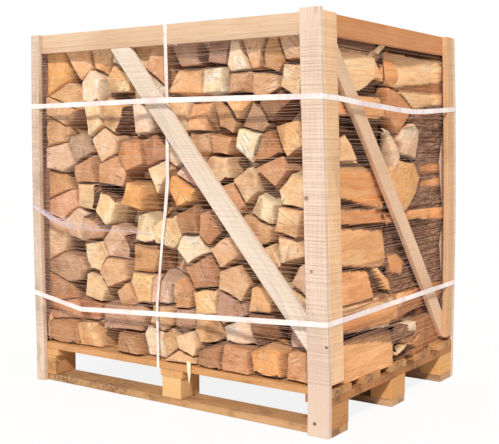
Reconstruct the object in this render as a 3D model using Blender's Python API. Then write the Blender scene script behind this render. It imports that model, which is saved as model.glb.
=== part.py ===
"""A pallet of split firewood: a block pallet with a board cage nailed to it, two rows of logs
stacked inside the cage in courses, and three packing straps round the load.

Metres, +Z up. The origin is on the ground under the middle of the pallet, X runs along the wide
front and -Y points out of the front.
"""

import math
import random

import bmesh
import bpy
from mathutils import Matrix, Vector

# Driving dimensions
WIDTH = 1.200  # along X, over the side boards
DEPTH = 0.902  # along Y, over the front and back boards
HEIGHT = 1.213  # ground to the top of the rails and posts
CAGE_BOARD = 0.017  # thickness of every board of the cage
GAP = 0.0004  # left between pieces that touch

# Pallet
SKID = 0.023  # thickness of the boards on the ground
BLOCK_HEIGHT = 0.069
STRINGER = 0.023
DECK = 0.022
BLOCK_X, BLOCK_Y = 0.076, 0.100
SKID_WIDTH = 0.095
STRINGER_WIDTH = 0.090
DECK_BOARDS = 5
DECK_WIDTH = 0.118
PALLET_DEPTH = DEPTH - 2 * CAGE_BOARD
MIDDLE_BLOCK_X = 0.006  # the middle blocks stand a little right of centre

# Cage
FRONT_POST_WIDTH = 0.071  # the post boards that face front and back
SIDE_POST_WIDTH = 0.072  # the post boards that face left and right
FAR_POST_WIDTH = 0.053  # the back right one is a narrower offcut
NARROW_POST_WIDTH = 0.038  # the front left post is a narrower offcut
POST_FOOT = 0.016  # the side boards end this far above the deck
TALL_POST = 0.009  # the front right post board is this much longer
RAIL_HEIGHT = 0.063
BRACE_WIDTH = 0.067
SIDE_BRACE_WIDTH = 0.058
BRACE_SLOPE = math.radians(50.4)
SIDE_BRACE_SLOPE = math.radians(51.0)
FRONT_BRACE_TOP = -0.188  # X of the front brace's middle under the rail

# How the loaded cage has settled: the two right posts lean in, and the others bow out
LEAN_FRONT = 0.035
LEAN_BACK = 0.018
LEAN_FORWARD = 0.008
BOW = 0.007
POST_CUTS = 7
BRACE_CUTS = 7

# Straps
STRAP_WIDTH = 0.016
STRAP = 0.0009

# Logs
LOG_LENGTH = 0.412
LOG_RADIUS = 0.050
HOLE_RADIUS = 0.030  # radius that a set-back log has at the front of the stack
SET_BACK = 0.095
UNEVEN = 0.009  # how far a log's outer side may lie inside the stack's
TILT = 0.16  # how far that side may lean, as a slope
STACK_WIDTH = 1.131
FRONT_TOP, BACK_TOP = 1.170, 1.196  # the back row is heaped higher
BULGE = 0.0155  # the low courses at the front stick out this far between the right posts
BULGING_COURSES = 5
FOOT_BULGE = 0.0325  # the lowest course reaches out to the pallet's right edge, in both rows
PROUD = 0.011  # the lowest course's ends stick out this far at the front
OVERHANGS = ((-0.24, -0.13), (0.02, 0.28), (0.33, 0.40))  # where they reach out over the pallet's edge
OVERHANG = 0.031
# There its corners slant in beside the posts: a point of each slant, and the way it faces
FOOT_CORNERS = (((0.5825, -0.361), (1, -0.5)), ((0.598, 0.19), (1, 0.30)))
FUSED = 0.0006  # neighbours in a course press into each other by this much each
NEAR_LOGS = 0.34  # only logs this close can share a side

PALLET_TOP = SKID + BLOCK_HEIGHT + STRINGER + DECK
INNER_Y = DEPTH / 2 - CAGE_BOARD  # outer face of the front rail and brace
INNER_X = WIDTH / 2 - CAGE_BOARD  # outer face of the side rails and braces
RAIL_BOTTOM = HEIGHT - RAIL_HEIGHT
LOG_FACE = INNER_Y - CAGE_BOARD - 0.004  # where the log ends start, clear of the brace

# The front row of logs, course by course from the deck up: where each log's end is, in
# centimetres across and up. A log in the second list of a course lies set back in the stack.
FRONT_COURSES = (
    (
        "(-49.5,18) (-37,19) (-18.5,16.5) (-8,18.5) (0,20.5) (5.5,21) (4,15) (15.5,16.5) (24,17.5)"
        " (37,18.5) (48,18) (54,18.5)",
        "(-28.8,18.5)",
    ),
    (
        "(-50.5,26) (-38,26.5) (-29,24.5) (-18.5,26) (-5,28) (3.5,27) (13,25) (24,26) (32.5,28.5) (46.5,29)"
        " (54,32.5)",
        "(39.5,27.5)",
    ),
    (
        "(-51.5,31.5) (-37,33.5) (-21.5,31.5) (-14,36) (-5.5,35.5) (2.5,35.5) (11.5,34) (21,32.5)"
        " (32,36.5) (44.5,37) (54,37.5)",
        "(-46.5,33) (-27.5,31) (39,34)",
    ),
    (
        "(-48,40.5) (-27.5,40) (-36,46.5) (-14,46.5) (10,43) (24,41) (34.5,49) (48,43.5)",
        "(-46.5,48.5) (-1.5,43.5) (29.5,45) (43,46.5)",
    ),
    (
        "(-53.5,51) (-44.5,56) (-37.5,54.5) (-26,51) (-14.5,56) (-4,57) (6,51) (5.5,59.5) (13,59)"
        " (20,52) (31,57.5) (42,52.5) (54,57)",
        "(-22.5,58) (18.5,60)",
    ),
    (
        "(-50,63.5) (-40,66) (-30.5,62.5) (-17.5,66) (2.5,69) (20,68) (33,64.5) (43.5,60.5) (54,62.3)",
        "(-28,69) (-10,62.5) (-3,66) (11,65) (48.5,59)",
    ),
    (
        "(-52.5,69.5) (-40,75) (-27.5,74) (-7,73.5) (5.5,75) (17,76.5) (26.5,72) (37.5,76.5) (44.5,70) (54,71.2)",
        "(-47.5,72) (-16.5,74.5) (35,70.5)",
    ),
    (
        "(-51,79) (-43.5,82.5) (-31.5,84) (-18.5,80) (-10,82) (1,82.5) (9.5,83.5) (17.5,84.5) (29,84.5)"
        " (35,82) (42.5,86) (54,83.8)",
        "(-5.5,87) (24,78.5) (47.5,79)",
    ),
    (
        "(-53,88.5) (-50,95) (-36,92) (-26.5,94) (-13.5,91.5) (1,91.5) (9.5,92) (20.5,92.5) (25,96.5)"
        " (30.5,92) (37,96.5) (54,91.2) (54,94.8)",
        "(-45,90.5) (-21,92) (15.5,91) (41,92.5)",
    ),
    (
        "(-47.5,100.5) (-36.5,103.5) (-24.5,105.5) (-12,103) (5,104) (16,104.5) (25,102) (34.5,101)"
        " (43.5,104) (54,104.6)",
        "(-24.5,99.3)",
    ),
    (
        "(-52.5,107.5) (-41.5,111) (-31,112.5) (-21,113) (-13.5,112.5) (-7.5,109.5) (4.5,112) (17,112)"
        " (24.5,110) (30,112) (37,110) (43.5,112) (54,119.4)",
        "(-46,105.8) (-1,109.5) (11.5,112.3)",
    ),
)

# The back row is stacked plainly, in courses of about equal logs, apart from those at its right
# end, which are given as in the front row
BACK_COURSES = 8
BACK_LOGS = 9
BACK_SEED = 11
BACK_RIGHT = (
    "(54,19)", "(54,30)", "(54,40.4)", "(54,55.2) (54,59.5)", "(54,63.8)", "(54,92.2)", "(54,98.4)",
    "(54,105.6)",
)

# Four logs lie crosswise at the right end of the back row, their cut ends facing right: the
# corners of each end, in centimetres back and up. Each pair is pressed together.
CROSS_LENGTH = 0.22
CROSS_UPPER = (
    "(0.3,102.4) (7,101.5) (20.1,95.6) (14,91) (7.6,87.0) (0.3,92.5)",
    "(18.9,91.3) (24.5,89) (26.3,85.7) (26.2,78.6) (9.8,80.6) (7.0,85.5) (9,89.5)",
)
CROSS_LOWER = (
    "(7.3,79.6) (21.8,77.6) (27.8,72.7) (24.5,67.2) (15.3,61.2) (8,62) (2.4,70) (3.2,76)",
    "(0.4,89.6) (3.5,88.8) (9.0,79.8) (8.6,77.5) (4.8,74.6)",
)
# Beside them and below, the back row's logs lie further in: from where to where, back and up
RECESSES = (
    ((-0.05, 0.606), (0.118, 1.018), CROSS_LENGTH),
    ((0.14, 0.622), (0.46, 0.93), 0.020),
    ((-0.05, 0.355), (0.46, 0.572), 0.018),
)

SAWN_PALE = (0.86, 0.74, 0.60)
SAWN_WARM = (0.78, 0.60, 0.42)
PALLET_WOOD = (0.80, 0.58, 0.36)
SPLIT_WOOD = (0.80, 0.57, 0.37)
STRAP_WHITE = (0.90, 0.88, 0.87)


def clear_scene():
    for obj in list(bpy.data.objects):
        bpy.data.objects.remove(obj)


def material(name, colour, roughness):
    made = bpy.data.materials.new(name)
    made.use_nodes = True
    shader = made.node_tree.nodes["Principled BSDF"]
    shader.inputs["Base Color"].default_value = (*colour, 1.0)
    shader.inputs["Roughness"].default_value = roughness
    shader.inputs["Metallic"].default_value = 0.0
    return made


def settled(point):
    """Where a point of the square cage ends up once the cage has leaned and bowed under its load."""
    lift = max(0.0, (point.z - PALLET_TOP) / (HEIGHT - PALLET_TOP))
    right = point.x / WIDTH + 0.5
    back = point.y / DEPTH + 0.5
    lean = right * ((1 - back) * LEAN_FRONT + back * LEAN_BACK) * lift
    bow = BOW * math.sin(math.pi * lift) * (right * back - (1 - right))
    forward = LEAN_FORWARD * right * (1 - back) * lift
    return Vector((point.x - lean + bow, point.y - forward, point.z))


def before_settling(point):
    """The point of the square cage that settles at this one."""
    guess = point.copy()
    for _ in range(4):
        guess += point - settled(guess)
    return guess


def finish_object(name, mesh, collection, look, warped=True):
    """Makes the bmesh an object of that name, settled with the cage if it is part of the load."""
    if warped:
        for vertex in mesh.verts:
            vertex.co = settled(vertex.co)
    bmesh.ops.recalc_face_normals(mesh, faces=mesh.faces)
    data = bpy.data.meshes.new(name)
    mesh.to_mesh(data)
    mesh.free()
    if look:
        data.materials.append(look)
    obj = bpy.data.objects.new(name, data)
    collection.objects.link(obj)
    return obj


def block(low, high):
    """A bmesh box between two opposite corners."""
    mesh = bmesh.new()
    bmesh.ops.create_cube(mesh, size=1.0)
    low, high = Vector(low), Vector(high)
    bmesh.ops.scale(mesh, vec=high - low, verts=mesh.verts)
    bmesh.ops.translate(mesh, vec=(low + high) / 2, verts=mesh.verts)
    return mesh


def saw(mesh, point, normal):
    """Cuts off what lies on the normal's side of the plane, and closes the cut."""
    parts = mesh.verts[:] + mesh.edges[:] + mesh.faces[:]
    cut = bmesh.ops.bisect_plane(
        mesh, geom=parts, dist=1e-7, plane_co=point, plane_no=normal, clear_outer=True
    )
    edges = [part for part in cut["geom_cut"] if isinstance(part, bmesh.types.BMEdge)]
    if edges:
        bmesh.ops.contextual_create(mesh, geom=edges)


def cross_cuts(mesh, axis, low, high, cuts):
    """Adds rings of points along a board, so that it can bend."""
    normal = Vector((0, 0, 0))
    normal[axis] = 1
    for i in range(1, cuts + 1):
        point = Vector((0, 0, 0))
        point[axis] = low + (high - low) * i / (cuts + 1)
        parts = mesh.verts[:] + mesh.edges[:] + mesh.faces[:]
        bmesh.ops.bisect_plane(mesh, geom=parts, dist=1e-7, plane_co=point, plane_no=normal)


def build_pallet(collection, look):
    half_x, half_y = WIDTH / 2, PALLET_DEPTH / 2
    rows_y = (("front", -half_y), ("middle", -BLOCK_Y / 2), ("back", half_y - BLOCK_Y))
    rows_x = (
        ("left", -half_x),
        ("middle", MIDDLE_BLOCK_X - BLOCK_X / 2),
        ("right", half_x - BLOCK_X),
    )
    for row, y in rows_y:
        middle = y + BLOCK_Y / 2
        low = (-half_x, middle - SKID_WIDTH / 2, 0)
        high = (half_x, middle + SKID_WIDTH / 2, SKID)
        finish_object(f"skid_{row}", block(low, high), collection, look, False)
        for side, x in rows_x:
            low = (x, y, SKID + GAP)
            high = (x + BLOCK_X, y + BLOCK_Y, SKID + BLOCK_HEIGHT)
            finish_object(f"block_{row}_{side}", block(low, high), collection, look, False)
    stringer_low = SKID + BLOCK_HEIGHT + GAP
    stringer_high = SKID + BLOCK_HEIGHT + STRINGER
    for side, x in rows_x:
        left = min(max(x - (STRINGER_WIDTH - BLOCK_X) / 2, -half_x), half_x - STRINGER_WIDTH)
        low = (left, -half_y, stringer_low)
        high = (left + STRINGER_WIDTH, half_y, stringer_high)
        finish_object(f"stringer_{side}", block(low, high), collection, look, False)
    spacing = (PALLET_DEPTH - DECK_WIDTH) / (DECK_BOARDS - 1)
    for i in range(DECK_BOARDS):
        y = -half_y + i * spacing
        low = (-half_x, y, stringer_high + GAP)
        high = (half_x, y + DECK_WIDTH, PALLET_TOP)
        finish_object(f"deck_board_{i + 1}", block(low, high), collection, look, False)


def build_posts(collection, pale, warm):
    """Each corner post is two boards: one on the front or back, down to the ground, and one on the
    side, standing on the deck behind it."""
    for end, out_y in (("front", -1), ("back", 1)):
        for side, out_x in (("left", -1), ("right", 1)):
            near = (end, side) == ("front", "right")
            width = NARROW_POST_WIDTH if (end, side) == ("front", "left") else FRONT_POST_WIDTH
            top = HEIGHT + (TALL_POST if near else 0)
            xs = sorted((out_x * WIDTH / 2, out_x * (WIDTH / 2 - width)))
            ys = sorted((out_y * (INNER_Y + GAP), out_y * DEPTH / 2))
            mesh = block((xs[0], ys[0], 0), (xs[1], ys[1], top))
            cross_cuts(mesh, 2, PALLET_TOP, top, POST_CUTS)
            cross_cuts(mesh, 2, 0, 2 * PALLET_TOP, 1)
            finish_object(f"post_{end}_{side}_board", mesh, collection, pale)

            width = FAR_POST_WIDTH if (end, side) == ("back", "right") else SIDE_POST_WIDTH
            xs = sorted((out_x * WIDTH / 2, out_x * (INNER_X + GAP)))
            ys = sorted((out_y * INNER_Y, out_y * (INNER_Y - width)))
            foot = PALLET_TOP + (POST_FOOT if out_x > 0 else GAP)
            mesh = block((xs[0], ys[0], foot), (xs[1], ys[1], HEIGHT))
            cross_cuts(mesh, 2, foot, HEIGHT, POST_CUTS)
            finish_object(f"post_{end}_{side}_side_board", mesh, collection, warm)


def build_rails(collection, pale, warm):
    reach = INNER_X - GAP
    for end, out_y in (("front", -1), ("back", 1)):
        ys = sorted((out_y * INNER_Y, out_y * (INNER_Y - CAGE_BOARD + GAP)))
        mesh = block((-reach, ys[0], RAIL_BOTTOM), (reach, ys[1], HEIGHT))
        finish_object(f"rail_{end}", mesh, collection, pale)
    reach = INNER_Y - CAGE_BOARD - GAP
    for side, out_x in (("left", -1), ("right", 1)):
        xs = sorted((out_x * INNER_X, out_x * (INNER_X - CAGE_BOARD + GAP)))
        mesh = block((xs[0], -reach, RAIL_BOTTOM), (xs[1], reach, HEIGHT))
        finish_object(f"rail_{side}", mesh, collection, warm)


def sloping_board(width, slope, middle, top, start, stop):
    """A board that falls towards +X at that slope, sawn level at the top and plumb at both ends.
    It is made in the plane of its own frame, its thickness along Y."""
    mesh = block((-1.6, -CAGE_BOARD + GAP, -width / 2), (1.6, 0, width / 2))
    bmesh.ops.rotate(mesh, matrix=Matrix.Rotation(slope, 3, "Y"), verts=mesh.verts)
    bmesh.ops.translate(mesh, vec=middle, verts=mesh.verts)
    saw(mesh, Vector((0, 0, top)), Vector((0, 0, 1)))
    saw(mesh, Vector((stop, 0, 0)), Vector((1, 0, 0)))
    saw(mesh, Vector((start, 0, 0)), Vector((-1, 0, 0)))
    saw(mesh, Vector((0, 0, PALLET_TOP + POST_FOOT)), Vector((0, 0, -1)))
    low = min(vertex.co.x for vertex in mesh.verts)
    high = max(vertex.co.x for vertex in mesh.verts)
    cross_cuts(mesh, 0, low, high, BRACE_CUTS)
    return mesh


def build_braces(collection, pale, warm):
    top = RAIL_BOTTOM - GAP
    reach = INNER_X - GAP
    for end, turn in (("front", 0.0), ("back", math.pi)):
        mesh = sloping_board(
            BRACE_WIDTH, BRACE_SLOPE, Vector((FRONT_BRACE_TOP, 0, top)), top, -reach, reach
        )
        bmesh.ops.translate(mesh, vec=(0, -INNER_Y + CAGE_BOARD - GAP, 0), verts=mesh.verts)
        bmesh.ops.rotate(mesh, matrix=Matrix.Rotation(turn, 3, "Z"), verts=mesh.verts)
        finish_object(f"brace_{end}", mesh, collection, pale)
    reach = INNER_Y - CAGE_BOARD - GAP
    crossing = Vector((0.0675, 0, 0.5885))
    for side, turn in (("right", math.pi / 2), ("left", -math.pi / 2)):
        mesh = sloping_board(SIDE_BRACE_WIDTH, SIDE_BRACE_SLOPE, crossing, top, -reach, reach)
        bmesh.ops.translate(mesh, vec=(0, -INNER_X + CAGE_BOARD - GAP, 0), verts=mesh.verts)
        bmesh.ops.rotate(mesh, matrix=Matrix.Rotation(turn, 3, "Z"), verts=mesh.verts)
        finish_object(f"brace_{side}", mesh, collection, warm)


def band(route, across, outward, collection, name, look):
    """A closed flat band through the points of the route, each with the direction across the band
    and the direction that faces out of the load."""
    mesh = bmesh.new()
    rings = []
    for point, side, out in zip(route, across, outward):
        half = side * (STRAP_WIDTH / 2)
        thick = out * STRAP
        corners = (point - half, point + half, point + half + thick, point - half + thick)
        rings.append([mesh.verts.new(corner) for corner in corners])
    for i, ring in enumerate(rings):
        following = rings[(i + 1) % len(rings)]
        for a in range(4):
            b = (a + 1) % 4
            mesh.faces.new((ring[a], ring[b], following[b], following[a]))
    return finish_object(name, mesh, collection, look)


def build_level_strap(name, heights, collection, look):
    """A strap round the four posts. heights holds the strap's points in order from the front left
    post on: x and y as parts of half the width and half the depth, then the height."""
    x, y = WIDTH / 2 + GAP, DEPTH / 2 + GAP
    route = [Vector((px * x, py * y, height)) for px, py, height in heights]
    across = [Vector((0, 0, 1))] * len(route)
    outward = []
    for point in route:
        at_x = abs(abs(point.x) - x) < 1e-6
        at_y = abs(abs(point.y) - y) < 1e-6
        out = Vector((math.copysign(at_x, point.x), math.copysign(at_y, point.y), 0))
        outward.append(out)
    band(route, across, outward, collection, name, look)


def build_straps(collection, look):
    upper = (
        (-1, -1, 0.968), (0, -1, 0.977), (1, -1, 0.975), (1, -0.80, 0.972), (1, -0.45, 0.961),
        (1, 0, 0.950), (1, 0.24, 0.946), (1, 0.45, 0.949), (1, 1, 0.963), (-1, 1, 0.966),
    )
    lower = (
        (-1, -1, 0.315), (-0.62, -1, 0.277), (-0.27, -1, 0.289), (1, -1, 0.331), (1, 1, 0.345),
        (-1, 1, 0.326),
    )
    build_level_strap("strap_upper", upper, collection, look)
    build_level_strap("strap_lower", lower, collection, look)

    over = DEPTH / 2 - CAGE_BOARD + GAP
    behind_brace = INNER_Y - CAGE_BOARD - STRAP - GAP
    under = SKID + BLOCK_HEIGHT + STRINGER - GAP / 2
    top = HEIGHT + GAP
    stations = (
        (-0.0065, -over, top), (-0.006, -over, RAIL_BOTTOM), (-0.0175, -behind_brace, 0.99),
        (-0.0175, -behind_brace, 0.72), (-0.027, -behind_brace, 0.635), (-0.039, -behind_brace - 0.002, 0.54),
        (-0.055, -over + 0.006, 0.32),
        (-0.048, -over, PALLET_TOP), (-0.048, -over, under), (-0.048, over, under),
        (-0.048, over, PALLET_TOP), (-0.040, over, 0.34), (0.0, over - 0.006, 0.62), (0.0, behind_brace, 0.80),
        (0.0, behind_brace, 0.99), (-0.006, over, RAIL_BOTTOM), (-0.010, over, top),
    )
    route = [Vector((before_settling(Vector(at)).x, at[1], at[2])) for at in stations]
    middle = Vector((0, 0, (under + top) / 2))
    outward = []
    for point in route:
        at_end = min(abs(point.z - top), abs(point.z - under)) < 1e-5
        up = math.copysign(at_end, point.z - middle.z)
        outward.append(Vector((0, math.copysign(1, point.y), up)))
    across = [Vector((1, 0, 0))] * len(route)
    band(route, across, outward, collection, "strap_vertical", look)


def log_places(courses):
    """(across, up, course, set back) of every log of a row, in metres."""
    places = []
    for course, lists in enumerate(courses):
        for set_back, text in enumerate(lists):
            for pair in text.split():
                across, up = pair.strip("()").split(",")
                end = before_settling(Vector((float(across) / 100, -LOG_FACE, float(up) / 100)))
                places.append((end.x, end.z, course, bool(set_back)))
    return places


def back_places():
    draw = random.Random(BACK_SEED)
    places = []
    rise = (BACK_TOP - PALLET_TOP) / BACK_COURSES
    for course in range(BACK_COURSES):
        logs = BACK_LOGS - course % 2
        for i in range(logs - 1):
            across = ((i + 0.5 + draw.uniform(-0.22, 0.22)) / logs - 0.5) * STACK_WIDTH
            up = PALLET_TOP + (course + 0.5 + draw.uniform(-0.2, 0.2)) * rise
            places.append((across, up, course, False))
    for course, text in enumerate(BACK_RIGHT):
        for pair in text.split():
            across, up = pair.strip("()").split(",")
            places.append((float(across) / 100, float(up) / 100, course, False))
    return places


def split_log(place, places, y_low, y_high, right):
    """One log: a block of wood split off along the planes between it and its neighbours."""
    across, up, course, set_back = place
    here = Vector((across, 0, up))
    radius = HOLE_RADIUS if set_back else LOG_RADIUS
    low = (-STACK_WIDTH / 2, y_low, PALLET_TOP + GAP)
    mesh = block(low, (right, y_high, BACK_TOP))
    for other in places:
        there = Vector((other[0], 0, other[1]))
        apart = there - here
        if other is place or apart.length > NEAR_LOGS:
            continue
        other_radius = HOLE_RADIUS if other[3] else LOG_RADIUS
        share = (apart.length_squared + radius**2 - other_radius**2) / (2 * apart.length_squared)
        edge = FUSED if other[2] == course else -GAP / 2
        saw(mesh, here + apart * share + apart.normalized() * edge, apart)
    return mesh


def press_together(first, others, name):
    """Joins the logs of one node where they touch."""
    pressed = bpy.data.collections.new(name)
    pressed.hide_render = True
    bpy.context.scene.collection.children.link(pressed)
    for log in others:
        pressed.objects.link(log)
        log.hide_render = True
        log.display_type = "WIRE"
    press = first.modifiers.new("press together", "BOOLEAN")
    press.operation = "UNION"
    press.operand_type = "COLLECTION"
    press.collection = pressed
    press.solver = "EXACT"


def build_row(name, places, courses, y_face, y_rear, top, seed, look, collection):
    """A row of logs: one object a course, its logs pressed together where they touch."""
    draw = random.Random(seed)
    inwards = math.copysign(1, y_rear - y_face)
    rows = []
    for course in range(courses):
        front = name == "front"
        right = STACK_WIDTH / 2
        if course == 0:
            right += FOOT_BULGE
        elif front and course < BULGING_COURSES:
            right += BULGE
        logs = []
        for place in sorted(place for place in places if place[2] == course):
            proud = 0
            if front and course == 0:
                over = any(low < place[0] < high for low, high in OVERHANGS)
                proud = OVERHANG if over else PROUD
            start = SET_BACK if place[3] else draw.uniform(0.0, 0.014) - proud
            face = y_face + inwards * start
            rear = y_rear - inwards * draw.uniform(0.0, 0.006)
            mesh = split_log(place, places, min(face, rear), max(face, rear), right)
            for side, reach in ((-1, STACK_WIDTH / 2), (1, right)):
                edge = side * (reach - draw.uniform(0, UNEVEN))
                saw(mesh, Vector((edge, 0, place[1])), Vector((side, 0, draw.uniform(-TILT, TILT))))
            crown = Vector((place[0], 0, top - draw.uniform(0, UNEVEN)))
            slope = Vector((draw.uniform(-TILT, TILT), 0, 1))
            if course == courses - 1:
                saw(mesh, crown, slope)
            if course == 0:
                for (x, y), (over, back) in FOOT_CORNERS:
                    saw(mesh, Vector((x, y, 0)), Vector((over, back, 0)))
            logs.append((f"{name}_logs_course_{course + 1}" if not logs else f"{name} log", mesh))
        first = finish_object(*logs[0], collection, look)
        others = [finish_log(*log, look) for log in logs[1:]]
        press_together(first, others, f"{name} {course + 1}")
        rows.append(first)
    return rows


def finish_log(name, mesh, look):
    """A log that is only there to be pressed into another one."""
    scratch = bpy.context.scene.collection
    log = finish_object(name, mesh, scratch, look)
    scratch.objects.unlink(log)
    return log


def prism(corners, left, right, grown=0.0):
    """A log that lies crosswise: its end's corners as pairs, and how far it reaches along X."""
    points = []
    for pair in corners.split():
        back, up = pair.strip("()").split(",")
        points.append((float(back) / 100, float(up) / 100))
    mesh = block((left, -0.2, 0.3), (right, 0.6, 1.3))
    middle = sum((Vector((0, y, z)) for y, z in points), Vector()) / len(points)
    for (y1, z1), (y2, z2) in zip(points, points[1:] + points[:1]):
        out = Vector((0, z2 - z1, y1 - y2)).normalized()
        if out.dot(Vector((0, y1, z1)) - middle) < 0:
            out = -out
        saw(mesh, Vector((0, y1, z1)) + out * grown, out)
    return mesh


def build_cross_logs(collection, look):
    right = STACK_WIDTH / 2
    left = right - CROSS_LENGTH
    for name, ends in (("cross_logs_upper", CROSS_UPPER), ("cross_logs_lower", CROSS_LOWER)):
        first = finish_object(name, prism(ends[0], left, right), collection, look)
        others = [finish_log(name + " log", prism(end, left, right), look) for end in ends[1:]]
        press_together(first, others, name + " pressed")


def clear_for_cross_logs(back_courses):
    """Cuts the back row clear of the crosswise logs, and to its recesses."""
    right = STACK_WIDTH / 2
    helpers = bpy.data.collections.new("cutters")
    helpers.hide_render = True
    bpy.context.scene.collection.children.link(helpers)
    shapes = []
    for end in CROSS_UPPER + CROSS_LOWER:
        shapes.append(prism(end, right - CROSS_LENGTH - GAP, right + 0.05, GAP))
    for (y1, z1), (y2, z2), depth in RECESSES:
        shapes.append(block((right - depth, y1, z1), (right + 0.05, y2, z2)))
    for number, mesh in enumerate(shapes):
        cutter = finish_object(f"cutter {number + 1}", mesh, helpers, None)
        cutter.hide_render = True
        cutter.display_type = "WIRE"
        for course in back_courses:
            clear = course.modifiers.new(cutter.name, "BOOLEAN")
            clear.operation = "DIFFERENCE"
            clear.object = cutter
            clear.solver = "EXACT"


def main():
    clear_scene()
    collection = bpy.data.collections.new("pallet of firewood")
    bpy.context.scene.collection.children.link(collection)
    pale = material("pale sawn board", SAWN_PALE, 0.8)
    warm = material("warm sawn board", SAWN_WARM, 0.8)
    pallet = material("pallet wood", PALLET_WOOD, 0.8)
    split = material("split wood", SPLIT_WOOD, 0.85)
    white = material("white strap", STRAP_WHITE, 0.4)
    build_pallet(collection, pallet)
    build_posts(collection, pale, warm)
    build_rails(collection, pale, warm)
    build_braces(collection, pale, warm)
    build_straps(collection, white)
    front = log_places(FRONT_COURSES)
    rear = LOG_FACE - LOG_LENGTH
    build_row("front", front, len(FRONT_COURSES), -LOG_FACE, -rear, FRONT_TOP, 3, split, collection)
    back = build_row("back", back_places(), BACK_COURSES, LOG_FACE, rear, BACK_TOP, 5, split, collection)
    clear_for_cross_logs(back)
    build_cross_logs(collection, split)


main()
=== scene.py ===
"""The looks of the pallet of firewood: every log, board, strap and net strand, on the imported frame."""

import math
import random

import bmesh
import bpy
from mathutils import Matrix, Vector, noise
from mathutils.bvhtree import BVHTree


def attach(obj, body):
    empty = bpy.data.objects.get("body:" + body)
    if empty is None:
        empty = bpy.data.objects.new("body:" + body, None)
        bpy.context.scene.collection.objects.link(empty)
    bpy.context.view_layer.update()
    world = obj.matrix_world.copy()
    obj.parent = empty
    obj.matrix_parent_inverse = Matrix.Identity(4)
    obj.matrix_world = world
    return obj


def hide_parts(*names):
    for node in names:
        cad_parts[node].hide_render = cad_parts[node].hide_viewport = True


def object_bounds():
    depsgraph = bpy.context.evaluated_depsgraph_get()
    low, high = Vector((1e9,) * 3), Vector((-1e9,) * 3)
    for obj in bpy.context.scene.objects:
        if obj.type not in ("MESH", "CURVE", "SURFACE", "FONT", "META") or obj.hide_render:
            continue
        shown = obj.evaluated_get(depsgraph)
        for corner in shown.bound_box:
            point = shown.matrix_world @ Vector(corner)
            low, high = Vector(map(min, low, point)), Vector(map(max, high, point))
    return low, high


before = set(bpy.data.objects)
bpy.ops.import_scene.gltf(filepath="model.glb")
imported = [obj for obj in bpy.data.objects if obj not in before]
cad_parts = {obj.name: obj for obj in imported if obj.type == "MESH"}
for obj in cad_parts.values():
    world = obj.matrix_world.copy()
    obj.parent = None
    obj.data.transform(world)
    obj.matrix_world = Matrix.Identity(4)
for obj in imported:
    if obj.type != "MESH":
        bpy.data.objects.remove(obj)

CAD_LOW, CAD_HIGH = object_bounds()
WELD = 0.00002  # points of a CAD mesh that are this near are one

# ---------------- camera

EYE = Vector((1.905, -2.732, 0.849))
AZIMUTH = math.radians(34.73)
DIP = math.radians(4.91)
ROLL = math.radians(0.08)
SENSOR = 36.0
LENS = 67.74


def make_camera():
    data = bpy.data.cameras.new("camera")
    data.sensor_fit = "HORIZONTAL"
    data.sensor_width = SENSOR
    data.lens = LENS
    data.clip_start = 0.05
    data.clip_end = 100.0
    camera = bpy.data.objects.new("camera", data)
    bpy.context.scene.collection.objects.link(camera)
    east, north = math.sin(AZIMUTH), -math.cos(AZIMUTH)
    back = Vector((east * math.cos(DIP), north * math.cos(DIP), math.sin(DIP)))
    right = Vector((math.cos(AZIMUTH), math.sin(AZIMUTH), 0))
    above = back.cross(right)
    tilted_right = right * math.cos(ROLL) + above * math.sin(ROLL)
    tilted_above = above * math.cos(ROLL) - right * math.sin(ROLL)
    turned = Matrix((tilted_right, tilted_above, back)).transposed()
    camera.matrix_world = Matrix.Translation(EYE) @ turned.to_4x4()
    bpy.context.scene.camera = camera


make_camera()


# ---------------- shader helpers


def linear(red, green, blue):
    """A colour given as it looks on a screen, 0 to 255, as linear light."""
    parts = []
    for value in (red, green, blue):
        share = value / 255
        parts.append(share / 12.92 if share <= 0.04045 else ((share + 0.055) / 1.055) ** 2.4)
    return (*parts, 1.0)


def toned(colour, red, green, blue):
    """The colour with each part multiplied, in linear light."""
    return (min(1, colour[0] * red), min(1, colour[1] * green), min(1, colour[2] * blue), 1)


def add(tree, kind, inputs=None, **settings):
    """A new node. Inputs are given by name or number, as a value or as the socket to link."""
    node = tree.nodes.new(kind)
    for key, value in settings.items():
        setattr(node, key, value)
    for key, value in (inputs or {}).items():
        if isinstance(value, bpy.types.NodeSocket):
            tree.links.new(value, node.inputs[key])
        else:
            node.inputs[key].default_value = value
    return node


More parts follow.
